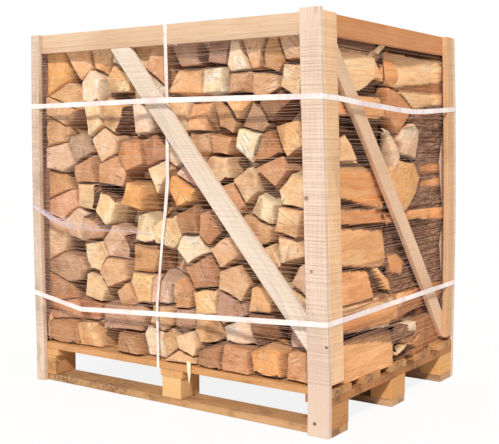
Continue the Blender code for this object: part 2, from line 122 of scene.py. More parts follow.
class Look:
    """A material while its nodes are added. Its colour is stained step by step."""

    def __init__(self, name, roughness, specular):
        self.material = bpy.data.materials.new(name)
        self.material.use_nodes = True
        self.tree = self.material.node_tree
        self.shader = self.tree.nodes["Principled BSDF"]
        self.shader.inputs["Roughness"].default_value = roughness
        self.shader.inputs["Specular IOR Level"].default_value = specular

    def add(self, kind, inputs=None, **settings):
        return add(self.tree, kind, inputs, **settings)

    def attribute(self, name, output="Fac"):
        return self.add("ShaderNodeAttribute", attribute_name=name).outputs[output]

    def object_place(self):
        """The point on the object, in metres. Every object's origin is the frame's."""
        return self.add("ShaderNodeTexCoord").outputs["Object"]

    def calc(self, operation, first, second=0.0):
        return self.add("ShaderNodeMath", {0: first, 1: second}, operation=operation).outputs[0]

    def times(self, first, second):
        return self.calc("MULTIPLY", first, second)

    def summed(self, *terms):
        """The sum of (value, weight) pairs."""
        total = 0.0
        for value, weight in terms:
            total = self.calc("ADD", total, self.times(value, weight))
        return total

    def vectors(self, operation, first, second=(0, 0, 0)):
        """What the operation makes of two vectors, or of one."""
        outputs = self.add("ShaderNodeVectorMath", {0: first, 1: second}, operation=operation).outputs
        return outputs["Value" if operation in ("LENGTH", "DISTANCE") else "Vector"]

    def vector(self, *parts):
        return self.add("ShaderNodeCombineXYZ", dict(enumerate(parts))).outputs[0]

    def parts(self, vector):
        return self.add("ShaderNodeSeparateXYZ", {0: vector}).outputs

    def mapped(self, vector, scale=(1, 1, 1), rotation=(0, 0, 0), location=(0, 0, 0)):
        inputs = {"Vector": vector, "Scale": scale, "Rotation": rotation, "Location": location}
        return self.add("ShaderNodeMapping", inputs).outputs["Vector"]

    def speckle(self, vector, scale, detail=3.0, rough=0.55, distortion=0.0):
        inputs = {"Vector": vector, "Scale": scale, "Detail": detail, "Roughness": rough}
        inputs["Distortion"] = distortion
        return self.add("ShaderNodeTexNoise", inputs).outputs["Fac"]

    def cells(self, vector, scale, feature="F1"):
        """How far the point is from the nearest of scattered points, or from the cell's edge."""
        inputs = {"Vector": vector, "Scale": scale}
        return self.add("ShaderNodeTexVoronoi", inputs, feature=feature).outputs["Distance"]

    def waves(self, vector, scale, distortion, direction="X", detail=2.0):
        inputs = {"Vector": vector, "Scale": scale, "Distortion": distortion, "Detail": detail}
        return self.add("ShaderNodeTexWave", inputs, bands_direction=direction).outputs["Fac"]

    def spread(self, value, low, high, to_low=0.0, to_high=1.0):
        """The value, with low to high stretched over to_low to to_high and kept within them."""
        inputs = {0: value, 1: low, 2: high, 3: to_low, 4: to_high}
        return self.add("ShaderNodeMapRange", inputs, clamp=True).outputs[0]

    def spot(self, place, centre, radius, blur=0.3):
        """1 within that radius of the point, 0 outside."""
        away = self.vectors("DISTANCE", place, centre)
        return self.spread(away, radius * (1 - blur), radius, 1.0, 0.0)

    def blended(self, share, first, second):
        return self.add("ShaderNodeMix", {0: share, 6: first, 7: second}, data_type="RGBA").outputs[2]

    def stain(self, pattern, low, high, strength, stain):
        """Blends the colour, up to that strength, into the stain where the pattern is over low."""
        self.colour = self.blended(self.spread(pattern, low, high, 0.0, strength), self.colour, stain)

    def cover(self, share, strength, stain):
        """Blends the colour into the stain where the share, 0 to 1, is high."""
        self.stain(share, 0.0, 1.0, strength, stain)

    def bump(self, height, strength, distance):
        inputs = {"Height": height, "Strength": strength, "Distance": distance}
        normal = self.add("ShaderNodeBump", inputs).outputs["Normal"]
        self.tree.links.new(normal, self.shader.inputs["Normal"])

    def done(self):
        self.tree.links.new(self.colour, self.shader.inputs["Base Color"])
        return self.material


# ---------------- wood materials

SMUDGE = Vector((0.172, -0.415, 0.846))  # a bluish smudge on one log's end
SMUDGE_COLOUR = linear(116, 134, 160)
WHITEST = (0.92, 0.92, 0.92)
# Painted shade: the logs' sides deep in the stack, the hollows and pockets at the right side, the faces'
# edges and the far ends in the middle of the load are blended up to this share into this dark colour
DARKEST_PAINTED_SHADE = 0.9
PAINTED_SHADE_COLOUR = linear(92, 60, 42)


class LogLook(Look):
    """The look of a log's surface. Its points carry their tint, grain and painted shade."""

    def __init__(self, name, roughness, specular):
        super().__init__(name, roughness, specular)
        self.grain = self.attribute("grain", "Vector")  # across, up and along the log from its pith
        self.seed = self.attribute("seed")
        shift = self.vector(self.seed, self.seed, self.seed)
        self.place = self.vectors("ADD", self.grain, shift)  # the same, but different in every log

    def tinted(self, red, green, blue):
        """The log's own tint with each part multiplied, and kept below white."""
        product = self.vectors("MULTIPLY", self.tint, (red, green, blue))
        return self.vectors("MINIMUM", product, WHITEST)

    def use_tint(self):
        """Starts from the log's own tint."""
        self.tint = self.attribute("tint", "Color")
        self.colour = self.tint

    def done(self):
        """The material, blended into near black-brown as painted shade in the hollows between the logs.
        """
        dirt = self.times(self.attribute("dirt"), DARKEST_PAINTED_SHADE)
        self.colour = self.blended(dirt, self.colour, PAINTED_SHADE_COLOUR)
        return super().done()


def end_grain_material():
    """The sawn end of a log: growth rings round the pith, rays, cracks, stains and saw marks."""
    look = LogLook("end grain", 0.85, 0.12)
    look.use_tint()
    light = look.tinted(1.14, 1.32, 1.60)
    deep = look.tinted(0.66, 0.53, 0.42)
    brown = look.tinted(0.42, 0.36, 0.33)
    across, up, _ = look.parts(look.grain)
    radius = look.vectors("LENGTH", look.vector(across, up))
    angle = look.calc("ARCTAN2", up, across)

    def round_pith(turns, rings):
        return look.vector(look.times(angle, turns), look.times(radius, rings), look.seed)

    wobble = look.speckle(look.place, 24.0)
    rings = look.calc("SINE", look.summed((radius, 780.0), (wobble, 14.0)))
    look.stain(rings, -0.6, 1.0, 0.14, deep)
    rays = look.speckle(round_pith(5.0, 9.0), 3.0, 4.0, 0.65)
    look.stain(rays, 0.48, 0.72, 0.50, deep)

    blotch = look.speckle(look.place, 20.0, 4.0, 0.6)
    look.stain(blotch, 0.50, 0.72, 0.45, deep)
    pale = look.speckle(look.place, 15.0, 3.0, 0.5, 0.5)
    look.stain(pale, 0.48, 0.70, 0.80, light)
    look.stain(look.speckle(look.place, 10.0, 4.0, 0.6), 0.55, 0.72, 0.60, brown)
    cuts = look.speckle(look.mapped(look.place, (0.25, 1.0, 1.0), (0, 0, 0.6)), 160.0, 2.0, 0.5)
    look.stain(cuts, 0.46, 0.70, 0.40, deep)

    from_crack = look.calc("SUBTRACT", look.speckle(round_pith(1.1, 2.0), 2.2, 1.0), 0.5)
    crack = look.spread(look.calc("ABSOLUTE", from_crack), 0.003, 0.012, 1.0, 0.0)
    crack = look.times(crack, look.spread(pale, 0.52, 0.62))
    look.cover(crack, 0.6, brown)

    # the cut end darkens in patches towards its edge
    rim_patches = look.spread(look.speckle(look.place, 50.0, 2.0), 0.35, 0.6)
    look.cover(look.times(look.attribute("rim"), rim_patches), 0.45, brown)
    smudge = look.spot(look.object_place(), SMUDGE, 0.016, 0.6)
    look.stain(look.times(smudge, blotch), 0.25, 0.5, 0.8, SMUDGE_COLOUR)

    rough = look.speckle(look.place, 220.0, 3.0, 0.7)
    height = look.summed((rough, 0.5), (cuts, 1.0), (crack, -2.0), (blotch, 3.0), (rays, 1.2))
    look.bump(height, 0.9, 0.0022)
    return look.done()


def split_side_material():
    """A split face: long torn fibres, some darker, with painted shade in the hollows."""
    look = LogLook("split side", 0.85, 0.12)
    look.use_tint()
    light = look.tinted(1.12, 1.28, 1.50)
    deep = look.tinted(0.68, 0.55, 0.43)
    brown = look.tinted(0.42, 0.36, 0.33)
    bent = look.speckle(look.mapped(look.place, (1.0, 1.0, 0.3)), 9.0, 2.0)
    bend = look.vector(look.times(bent, 0.05), look.times(bent, 0.07))
    flowing = look.vectors("ADD", look.place, bend)
    streak = look.speckle(look.mapped(flowing, (1.0, 1.0, 0.06)), 120.0, 5.0, 0.68, 0.2)
    wide = look.speckle(look.mapped(flowing, (1.0, 1.0, 0.2)), 22.0, 4.0, 0.6)
    look.stain(streak, 0.46, 0.70, 0.45, deep)
    look.stain(wide, 0.50, 0.70, 0.55, deep)
    look.stain(wide, 0.48, 0.32, 0.65, light)
    patches = look.speckle(look.mapped(look.place, (1.0, 1.0, 0.5)), 11.0, 4.0, 0.65)
    look.stain(patches, 0.56, 0.74, 0.55, brown)
    look.bump(look.summed((streak, 1.0), (wide, 2.6)), 0.9, 0.004)
    return look.done()


def bark_material():
    """Bark: long cracked plates, purple-brown, with paler worn patches."""
    look = LogLook("bark", 0.95, 0.08)
    ridged = look.mapped(look.place, (1.0, 1.0, 0.22))
    from_seam = look.cells(ridged, 60.0, "DISTANCE_TO_EDGE")
    coarse = look.speckle(ridged, 34.0, 5.0, 0.65, 0.6)
    plates = look.spread(coarse, 0.35, 0.65)
    look.colour = look.blended(plates, linear(116, 80, 62), linear(178, 132, 102))
    look.stain(look.speckle(look.place, 14.0), 0.52, 0.70, 0.6, linear(190, 152, 126))
    look.cover(look.spread(from_seam, 0.0, 0.12, 1.0, 0.0), 0.55, linear(80, 54, 42))
    look.bump(look.summed((look.spread(from_seam, 0.0, 0.25), 1.0), (coarse, 1.5)), 1.0, 0.005)
    return look.done()


# The rings of a mark on a board, from the outer one in: how many times the mark's size, how
# blurred, how strong and of which colour each is
KNOT_RINGS = ((1.7, 0.5, 0.45, (176, 130, 98)), (1.0, 0.3, 0.75, (122, 84, 62)))
HOLE_RINGS = ((2.0, 0.6, 0.50, (164, 124, 98)), (1.0, 0.3, 0.95, (48, 34, 28)))
MOULD = linear(86, 66, 52)
FOOT_GREY = linear(206, 182, 166)
# dirt, and on the deck boards' ends painted shade
SOIL_AND_PAINTED_SHADE = linear(82, 60, 48)


class Board:
    """How one sawn board looks: how strong its knots, mottling, mould and pale foot are. Marks are
    (kind, centre, radius), with the centre in metres."""

    def __init__(self, colour, along, knots=0.6, mottle=0.5, mould=0.0, foot=0.0, marks=()):
        self.colour = linear(*colour)
        self.along = along
        self.knots = knots
        self.mottle = mottle
        self.mould = mould
        self.foot = foot
        self.marks = marks

    def material(self, name, seed):
        look = Look(name, 0.75, 0.2)
        here = look.object_place()
        turned = self.along.rotation_difference(Vector((1, 0, 0))).to_euler()
        place = look.mapped(here, rotation=turned, location=(seed * 3.1, seed * 1.7, seed * 2.3))
        dark = toned(self.colour, 0.66, 0.52, 0.40)
        light = toned(self.colour, 1.10, 1.13, 1.20)
        mottled = toned(self.colour, 0.80, 0.68, 0.56)

        broad = look.speckle(look.mapped(place, (0.16, 1, 1)), 14.0, 3.0, 0.5)
        cloud = look.speckle(look.mapped(place, (0.5, 1, 1)), 9.0, 3.0, 0.5, 0.4)
        fibre = look.speckle(look.mapped(place, (0.05, 1, 1)), 210.0, 4.0, 0.6)
        look.colour = look.blended(look.spread(broad, 0.38, 0.62, 0.0, 0.8), self.colour, light)
        look.stain(cloud, 0.47, 0.70, self.mottle, mottled)
        look.stain(fibre, 0.46, 0.72, 0.22, dark)

        from_knot = look.cells(look.mapped(place, (2.1, 8, 8)), 1.0)
        bend = look.spread(from_knot, 0.0, 0.35, 6.0, 0.0)
        _, up, out = look.parts(look.mapped(place, (0.08, 1, 0.6)))
        rings = look.summed((up, 620.0), (out, 620.0), (broad, 16.0), (cloud, 5.0), (bend, 1.0))
        rings = look.calc("SINE", rings)
        look.stain(rings, 0.1, 1.0, 0.13, dark)
        knot = look.spread(from_knot, 0.040, 0.068, 1.0, 0.0)
        look.cover(knot, self.knots, toned(self.colour, 0.40, 0.24, 0.15))

        if self.mould:
            patches = look.speckle(look.mapped(place, (0.5, 1, 1)), 16.0, 5.0, 0.7)
            look.stain(patches, 0.50, 0.64, self.mould, MOULD)
        if self.foot:
            low = look.summed((look.parts(here)[2], 1.0), (cloud, -0.5))
            look.stain(low, 0.25, -0.10, self.foot, FOOT_GREY)
        for kind, centre, size in self.marks:
            mark_board(look, kind, here, Vector(centre), size)

        saw_lines = look.waves(place, 65.0, 2.0, detail=1.0)
        look.bump(look.summed((fibre, 1.0), (saw_lines, 0.35), (rings, 0.12), (knot, -0.6)), 0.5, 0.0014)
        return look.done()


def mark_board(look, kind, here, centre, size):
    """A mark on the board: a knot, a nail's hole, or a dark patch, which is dirt, and on the deck boards'
    ends painted shade under the logs.
    """
    if kind == "dirt":
        rough = look.spread(look.speckle(here, 60.0, 4.0, 0.7), 0.38, 0.60)
        look.cover(look.times(look.spot(here, centre, size, 0.8), rough), 0.75, SOIL_AND_PAINTED_SHADE)
        return
    for wide, blur, strength, colour in KNOT_RINGS if kind == "knot" else HOLE_RINGS:
        look.cover(look.spot(here, centre, size * wide, blur), strength, linear(*colour))


def strap_material():
    """White polypropylene strap: creased and a little shiny, with painted lilac shade in patches and
    along its creases.
    """
    look = Look("white strap", 0.42, 0.40)
    place = look.object_place()
    # painted lilac shade, in patches
    shade = look.spread(look.speckle(place, 9.0, 2.0), 0.4, 0.65)
    look.colour = look.blended(shade, linear(247, 238, 230), linear(230, 214, 210))
    crease = look.speckle(look.mapped(place, (1.0, 1.0, 0.45)), 55.0, 3.0, 0.6)
    # painted lilac shade along the creases
    look.stain(crease, 0.50, 0.68, 0.55, linear(214, 186, 184))
    ribs = look.waves(place, 140.0, 0.4, "DIAGONAL")
    look.bump(look.summed((ribs, 0.3), (crease, 1.5)), 0.5, 0.0012)
    look.shader.inputs["Subsurface Weight"].default_value = 0.15
    look.shader.inputs["Subsurface Radius"].default_value = (0.003, 0.002, 0.002)
    return look.done()


def thread_material(name, light, dark):
    look = Look(name, 0.5, 0.3)
    shade = look.spread(look.speckle(look.object_place(), 60.0, 2.0), 0.35, 0.65)
    look.colour = look.blended(shade, linear(*light), linear(*dark))
    return look.done()


# ---------------- logs

# The tones of the wood, as the fresh cut ends look
CREAM = (252, 222, 186)
PALE = (244, 204, 158)
TAN = (238, 186, 134)
ORANGE = (234, 170, 108)
SAND = (218, 170, 128)
PINK = (224, 186, 158)
RUST = (206, 152, 108)
BROWN = (186, 132, 92)
GREY = (182, 142, 114)
UMBER = (150, 106, 78)
BARK = (132, 98, 82)
# painted shade: the dark tone of the hollows between the logs at the right side
HOLLOW = (150, 106, 76)

# The tone of each log, by where its end is: centimetres across and up the front
FRONT_TONES = {
    CREAM: (
        "(-9,19) (24,26) (39,34) (-23,58) (-14,56) (6,51) (33,65) (0,82) (24,79) (28,84) (-21,91)"
        " (-13,92) (-36,103) (-12,102) (15,103) (-45,106) (24,110) (-21,113)"
    ),
    PALE: (
        "(7,21) (-45,33) (-37,35) (44,37) (-36,46) (-4,56) (43,53) (-40,66) (-30,62) (20,60) (-16,74)"
        " (-7,73) (16,76) (27,72) (35,70) (44,70) (-31,84) (-44,91) (-36,92) (0,93) (44,103)"
    ),
    TAN: (
        "(-38,18) (-14,36) (12,34) (32,37) (43,61) (-28,68) (10,93) (43,86) (4,103) (-42,112) (-31,112)"
        " (-24,105) (-14,112) (11,112) (30,112)"
    ),
    ORANGE: "(37,19) (-18,66) (2,69) (-52,109)",
    SAND: (
        "(-1,20) (4,16) (-6,28) (14,25) (-27,40) (-22,32) (23,42) (-53,51) (-37,55) (20,52) (30,57)"
        " (-51,62) (20,67) (9,83) (-53,88) (-27,94) (15,92) (-51,95) (-47,100) (25,103) (34,102)"
        " (-6,110) (-1,110) (45,113)"
    ),
    PINK: "(47,28) (-6,36) (-46,48) (-2,45) (49,45) (-45,56) (-26,51) (6,75) (-52,79) (43,93)",
    RUST: (
        "(25,18) (47,18) (-50,25) (3,36) (-14,46) (13,58) (-7,64) (-53,70) (-28,74) (38,76) (-19,81)"
        " (18,85) (20,93) (37,111)"
    ),
    BROWN: "(-50,18) (-19,17) (15,17) (-39,26) (-52,33) (11,43) (5,60) (-39,75) (-10,82) (35,82)",
    GREY: "(-23,25) (4,28) (21,33) (-49,41) (-43,83) (31,92) (4,112) (17,113)",
    # UMBER also stands as painted shade for the end at (-28,17), which lies set back in the stack
    UMBER: "(-28,17) (32,28) (40,27) (-28,32) (42,45) (-47,72) (38,96)",
}
TONE_REACH = 0.02  # a tone belongs to the log whose end's middle is this near
OTHER_TONES, OTHER_SHARES = (TAN, PALE, SAND, PINK, RUST), (6, 3, 3, 1, 2)

# The right side of the load, where the outermost logs show their long sides: the faces that they
# were split to, the hollows between them and their bark. The hollows are painted in a dark tone, as
# painted shade. Corners are in centimetres back and up.
# Most of these tones of the right side are lighter than the front's, as painted light, since the key
# light lights this side less
SIDE_PALE = (252, 204, 152)
SIDE_TAN = (250, 188, 131)
SIDE_ORANGE = (240, 171, 112)
SIDE_RUST = (224, 158, 105)
SIDE_BROWN = (184, 126, 84)
RIGHT_FACES = (
    # the near row, from the top down
    (HOLLOW, "(-43,119) (-43,112.5) (-12,113) (-2,113) (-2,119)"),
    (SIDE_TAN, "(-7,112) (-3.5,108) (-1,104) (-8,105)"),
    (HOLLOW, "(-3.5,108) (-2,119) (-7,112.2) (2,113.5) (0,112)"),
    (SIDE_PALE, "(-43,112) (-12,112.5) (-7,111.5) (-8,105) (-14,102) (-21,100) (-43,98.5)"),
    (HOLLOW, "(-21,100) (-14,102) (-8,105) (-1,104) (-1,99) (-5,98.6) (-20,99)"),
    (SIDE_TAN, "(-43,99) (-5,98.6) (-5,96) (-1,93.7) (-5,92) (-12,92) (-43,93.5)"),
    (HOLLOW, "(-43,93.5) (-12,92) (0,92) (0,88) (-43,88)"),
    (SIDE_PALE, "(-25,87.3) (-18,79.2) (-30,79) (-28,85.6)"),
    (HOLLOW, "(-43,88) (0,88) (0,77) (-43,78)"),
    (HOLLOW, "(-31,68.5) (-22,67.3) (-16,65) (-31,65.5)"),
    (SIDE_ORANGE, "(-43,78) (-30,77.3) (-11,76) (-1,71) (-3,64) (-31,68.6) (-43,69)"),
    (HOLLOW, "(-43,69) (-31,68.6) (-4,64) (1,63) (-30,65.5) (-43,65.8)"),
    (SIDE_RUST, "(-43,65.7) (-30,65.5) (3.4,62.8) (3.4,58) (-30,60.7) (-43,61)"),
    (HOLLOW, "(-43,61) (-30,60.8) (3.4,58) (0,55.8) (-29,59) (-43,59.5)"),
    (SIDE_TAN, "(-43,59.3) (-30,59) (0,55.8) (2.8,44) (-9,45) (-30,48.6) (-43,49)"),
    (HOLLOW, "(-43,49) (-30,48.6) (-8,45) (-12,44) (-29,47.2) (-43,47.5)"),
    (SIDE_ORANGE, "(-43,47.4) (-29,47.2) (-12,44) (-9.5,35.6) (-43,35.4)"),
    (SIDE_TAN, "(-6,44.5) (-3,44) (2,40) (2.4,36) (-0.6,37)"),
    (HOLLOW, "(-12,45) (3.5,44) (3.5,34.9) (-9.5,35)"),
    (SIDE_PALE, "(-43,35) (9,34.6) (9,31.6) (-30,33) (-43,33)"),
    (SIDE_ORANGE, "(-43,33.2) (-30,33.2) (9,31.8) (9,25.6) (-30,27.3) (-43,28)"),
    (HOLLOW, "(-43,28) (-30,27) (9,24) (9,21.8) (-30,24.2) (-43,25)"),
    (SIDE_TAN, "(-43,25) (-30,24) (-5,21) (3.4,19) (3.4,9) (-43,9)"),
    # the far row, from the top down
    (SIDE_ORANGE, "(0.3,112.8) (-3.5,108) (-1,104) (4.5,102.4) (9,106) (8,110)"),
    (SIDE_PALE, "(1.6,113.5) (36,113.2) (42,110) (42,106) (22,104.8) (12,105.4) (4.5,102.4) (0,108)"),
    (HOLLOW, "(-2,119) (43,119) (43,113.2) (1.6,113.6)"),
    (SIDE_BROWN, "(4.5,102.4) (12,105.4) (22,104.8) (43,106) (43,101.5) (10,101.4)"),
    (SIDE_PALE, "(9,101) (40,101.4) (40,98.5) (21,95.7) (9,96)"),
    (SIDE_RUST, "(28,77) (42,78) (42,74.5) (28,74.5)"),
    (SIDE_RUST, "(27,71.5) (42,73) (42,70) (27,69.5)"),
    (HOLLOW, "(-2,103) (10,102.5) (10,61.8) (-2,61.8)"),
    (BARK, "(9,96) (43,98) (43,61.8) (9,61.8)"),
    (SIDE_ORANGE, "(4,62) (43,61.7) (43,57.6) (23,58.6) (4,60)"),
    (SIDE_RUST, "(3.4,48) (10,48) (14,45) (10,41) (3.4,42.6)"),
    (BARK, "(0,58.5) (43,58) (43,35.2) (0,35.2)"),
    (SIDE_TAN, "(0,35) (24,35) (9,30.6) (0,31)"),
    (SIDE_BROWN, "(9,35) (43,35.5) (43,29) (28,28) (10,26.5)"),
    (HOLLOW, "(14,28.5) (27,29) (24,25) (14,26)"),
    (CREAM, "(13,25.2) (21.4,24.4) (21.4,20.3) (15.5,20.8)"),
    (BARK, "(3.4,25) (13,25) (21,19) (10,18.2) (3.4,18.4)"),
    (SIDE_PALE, "(4.4,15.6) (24,18.6) (24,17.4) (5,13.8)"),
    (HOLLOW, "(3.4,18.4) (10,18.2) (20,14.5) (17,12) (3.4,12.5)"),
    (SIDE_BROWN, "(9,25) (43,29) (43,9) (9,9)"),
)

# The ends of the logs that lie crosswise: which pair, tone, corners in centimetres back and up
END_RUST, END_CREAM = (222, 158, 108), (252, 212, 174)
END_ORANGE, END_PALE = (240, 180, 118), (250, 208, 168)
CROSS_ENDS = (
    ("upper", END_RUST, "(0.3,102.4) (7,101.5) (20.1,95.6) (14,91) (7.6,87) (0.3,92.5)"),
    ("upper", END_CREAM, "(18.9,91.3) (24.5,89) (26.3,85.7) (26.2,78.6) (9.8,80.6) (7,85.5) (9,89.5)"),
    (
        "lower",
        END_ORANGE,
        "(7.3,79.6) (21.8,77.6) (27.8,72.7) (24.5,67.2) (15.3,61.2) (8,62) (2.4,70) (3.2,76)",
    ),
    ("lower", END_PALE, "(0.4,89.6) (3.5,88.8) (9,79.8) (8.6,77.5) (4.8,74.6)"),
)

# RIGHT_FACES are drawn on this plane, before the load settled. What stands out of it is drawn
# further back and lower by these slopes.
DRAWN_AT = 0.566
DRAWN_BACK, DRAWN_DOWN = 2.0, 0.5
FOLLOWS = 0.97  # the share of the cage's lean that the logs have
WAVER = 0.0022  # their edges waver by this much
TILT_BACK, TILT_UP = (-0.10, 0.10), (-0.16, 0.22)  # each face lies at its own slope,
FACE_DEPTHS, FACE_SHADES = (0.002, 0.007), (-5, 4)  # depth and shade
FACE_EDGE, EDGE_FALL = 0.007, 0.006  # and falls away this near its edges
BARK_LOWER = 0.004
HOLLOW_LIP, HOLLOW_DEPTH, HOLLOW_EDGE = 0.008, 0.024, 0.006
POCKET_DEPTH = 0.056  # round the ends of the crosswise logs the back row lies this far in
POCKET_ROOM = 0.003
SHALLOW, SHALLOW_FROM = 0.005, 0.375  # further back than this the side is hardly hollow at all,
SHALLOW_SLOPE = 0.35
CORNER_SWELL, SWELL_FROM, SWELL_OVER = 0.012, 0.345, 0.05  # and it swells out, up to the corner
SEEN_DEEP, SEEN_FADE = 0.040, 0.030  # the long sides are shaped this far in from the load's side

# How finely a log is worked, and how it fills its place in the stack
LOG_STATIONS = (0.0, 0.0025, 0.010, 0.030, 0.065, 0.11, 0.17, 0.24, 0.32, 1.0)
SIDE_STATIONS, SIDE_PITCH = (0.0, 0.0025, 0.008, 0.016), 0.008  # for a log that is seen from the side
OUTLINE_STEP = 0.0055
SHORTEST = 0.00001  # a side of an outline that is shorter than this is none
CAP_RINGS = (0.93, 0.80, 0.62, 0.42, 0.20)
LOOSE_GAP, CLOSE_GAP, LEAST_GAP = 0.0065, 0.0012, 0.0004  # between a cut end and its place's sides
FULL_AT = 0.070  # this deep in the stack, a log fills its place
FULL_AT_EDGE = 0.018  # and already here where the light would show past it
OVERLAP = 0.0012  # a log presses this far into its neighbours,
SMOOTHER = 0.85  # and is this share less rough there
CORNER_COUNTS = (4, 4, 4, 5, 5)
# painted shade: the far end of each log, in the middle of the load, is painted dark
END_RIM = 0.03  # within this narrow rim, the end in the middle of the load is dark
LEAST_REACH, MOST_REACH = 0.5, 3.0  # a log grows at most this many times as wide
FLAT_END, LEAST_END = 0.97, 0.0004  # a face that is turned away or smaller is no log's end,
LEAST_CUT_END = 0.0002  # and a log with a smaller cut end is left out

# Where the logs end
FRONT_COURSES, BACK_COURSES = 11, 8
ROW_EDGE = 0.50  # a log that reaches further than this from the middle is at the end of its row,
SHOWS_SIDE = 0.52  # and in the front row one that reaches this far shows its long side
LEFT_POST, LEFT_BOARD = 0.54, 0.5745  # the front row's left logs reach to just short of the side boards
AT_FOOT, FOOT_EDGE = 0.515, 0.595  # the lowest right logs reach to the pallet's edge,
FOOT_CORNERS = ((0.582, -0.360, 0.5), (0.597, 0.190, -0.30))  # slanting in beside the posts,
FOOT_LEAST = 0.5645  # but no further than this
BACK_CORNER = 0.424  # the back row's right logs reach this far back, to just before the corner post
ROWS_APART, LENGTH_CHANGE = 0.0006, 0.0008  # the logs of both rows end this near the load's middle
CROSS_LENGTH = 0.2
CROSS_OUT = 0.004  # the crosswise ends stand this much further out than their solids
NOWHERE = (9, 9)  # far from all the places that have a tone

# The cut ends: how far they are from square, as slopes, and how a second facet falls away
LEAN_ACROSS, LEAN_UP = (-0.14, 0.14), (-0.14, 0.09)
MORE_SQUARE = 0.3  # the ends of crosswise logs and at the left edge lean only this share
FACET_FROM, FACET_FALLS = (-0.1, 0.35), (0.0, 0.15, 0.25, 0.6)
CROSS_FALL = 0.25
# painted shade: a facet that falls away steeply is painted darker
STEEP, FACET_SHADE = 0.3, (0.86, 0.80, 0.74)  # a facet that falls more than this is darker
RECESS = 0.006
END_FADE = 0.1  # a cut end's slope is gone this far in

# How rough the wood is
CORNER_EASE, EASE_SHARE, EASE_DEEP = 0.004, 0.2, 0.45
BARK_ARCH = 0.13
SPLIT_BULGE, SPLIT_HOLLOW = -0.002, 0.005
END_PROUD, END_SWELL, END_ROUGH = 0.0006, 0.0010, 0.0005
BARK_SWELL, BARK_ROUGH = 0.001, 0.0016
TORN_SWELL, TORN_ROUGH = 0.0022, 0.0011
MOUTH_WORN, MOUTH_ROUGH = 0.0009, 0.0012  # more at the edge of the cut end
SIDE_FIBRES, SIDE_ROUGH = 0.0022, 0.0010  # on the long sides that show
RIDGES = (0.004, 0.010)  # how far in the long sides lie between the faces
# painted shade on the logs' sides between their cut ends: how dark, and how far in it is full
GAP_PAINTED_SHADE, PAINTED_SHADE_FULL_AT = 0.45, 0.03  # how dark the logs' sides are between their cut ends
CUT_END, SPLIT_SIDE, BARK_SIDE = 0, 1, 2  # the materials of a log
SHARP = math.radians(40)

# How the cage has settled: the right posts lean in, less at the back, and all posts bow out
LOAD_LOW, LOAD_HIGH = 0.137, 1.213
PALLET_LENGTH, CAGE_DEPTH = 1.2, 0.902
LEAN_FRONT, LEAN_BACK = 0.035, 0.018
LEAN_CHANGE = 0.0185  # the load leans less from front to back, as a slope at the top
LEAN_FORWARD = 0.008
BOW = 0.007


def lift_at(z):
    """How far up the load that height is, from 0 to 1."""
    return (z - LOAD_LOW) / (LOAD_HIGH - LOAD_LOW)


def number_pairs(text):
    """The pairs of a text such as "(1,2) (3,4)", in centimetres, as metres."""
    pairs = (pair.strip("()").split(",") for pair in text.split())
    return [(float(first) / 100, float(second) / 100) for first, second in pairs]


def cross(a, b, c):
    """Twice the area of the triangle, positive if it turns left."""
    return (b[0] - a[0]) * (c[1] - a[1]) - (b[1] - a[1]) * (c[0] - a[0])


def hull(points):
    """The corners of the convex outline, anticlockwise."""
    points = sorted(set((round(a, 6), round(b, 6)) for a, b in points))
    sides = []
    for row in (points, points[::-1]):
        side = []
        for point in row:
            while len(side) > 1 and cross(side[-2], side[-1], point) <= 1e-9:
                side.pop()
            side.append(point)
        sides.extend(side[:-1])
    return sides


def sides_of(outline):
    return list(zip(outline, outline[1:] + outline[:1]))


def walls_of(outline):
    """Each side of the outline as its first corner and its normal outwards."""
    for (x1, y1), (x2, y2) in sides_of(outline):
        length = math.hypot(x2 - x1, y2 - y1)
        if length > SHORTEST:
            yield (x1, y1), ((y2 - y1) / length, (x1 - x2) / length)


def past(point, corner, normal):
    """How far the point lies outside the wall through that corner."""
    return (point[0] - corner[0]) * normal[0] + (point[1] - corner[1]) * normal[1]


def area_of(outline):
    return sum(x1 * y2 - x2 * y1 for (x1, y1), (x2, y2) in sides_of(outline)) / 2


def middle_of(outline):
    x, y = 0.0, 0.0
    for (x1, y1), (x2, y2) in sides_of(outline):
        part = x1 * y2 - x2 * y1
        x += (x1 + x2) * part
        y += (y1 + y2) * part
    area = area_of(outline)
    return x / (6 * area), y / (6 * area)


def margin(point, outline):
    """How far inside the convex outline the point lies, negative if it lies outside."""
    return min(-past(point, corner, normal) for corner, normal in walls_of(outline))


def clipped(outline, corner, normal):
    """The part of the convex outline that lies within the wall through that corner."""
    kept = []
    for (x1, y1), (x2, y2) in sides_of(outline):
        first = past((x1, y1), corner, normal)
        second = past((x2, y2), corner, normal)
        if first <= 0:
            kept.append((x1, y1))
        if first * second < 0:
            share = first / (first - second)
            kept.append((x1 + (x2 - x1) * share, y1 + (y2 - y1) * share))
    return kept


def inset(outline, draw, most):
    """The outline with each side moved in by its own amount."""
    made = outline
    for (x, y), normal in walls_of(outline):
        depth = LEAST_GAP + (most - LEAST_GAP) * draw.random() ** 2
        made = clipped(made, (x - normal[0] * depth, y - normal[1] * depth), normal)
        if len(made) < 3:
            return outline
    return made


def fewer_corners(outline, most, lose=0.15):
    """The outline without its bluntest corners, as an axe leaves it, at most that share smaller."""
    made = list(outline)
    whole = area_of(made)
    while len(made) > most:
        losses = []
        for i in range(len(made)):
            losses.append((abs(area_of([made[i - 1], made[i], made[(i + 1) % len(made)]])), i))
        loss, i = min(losses)
        if loss > lose * whole:
            break
        made.pop(i)
    return made


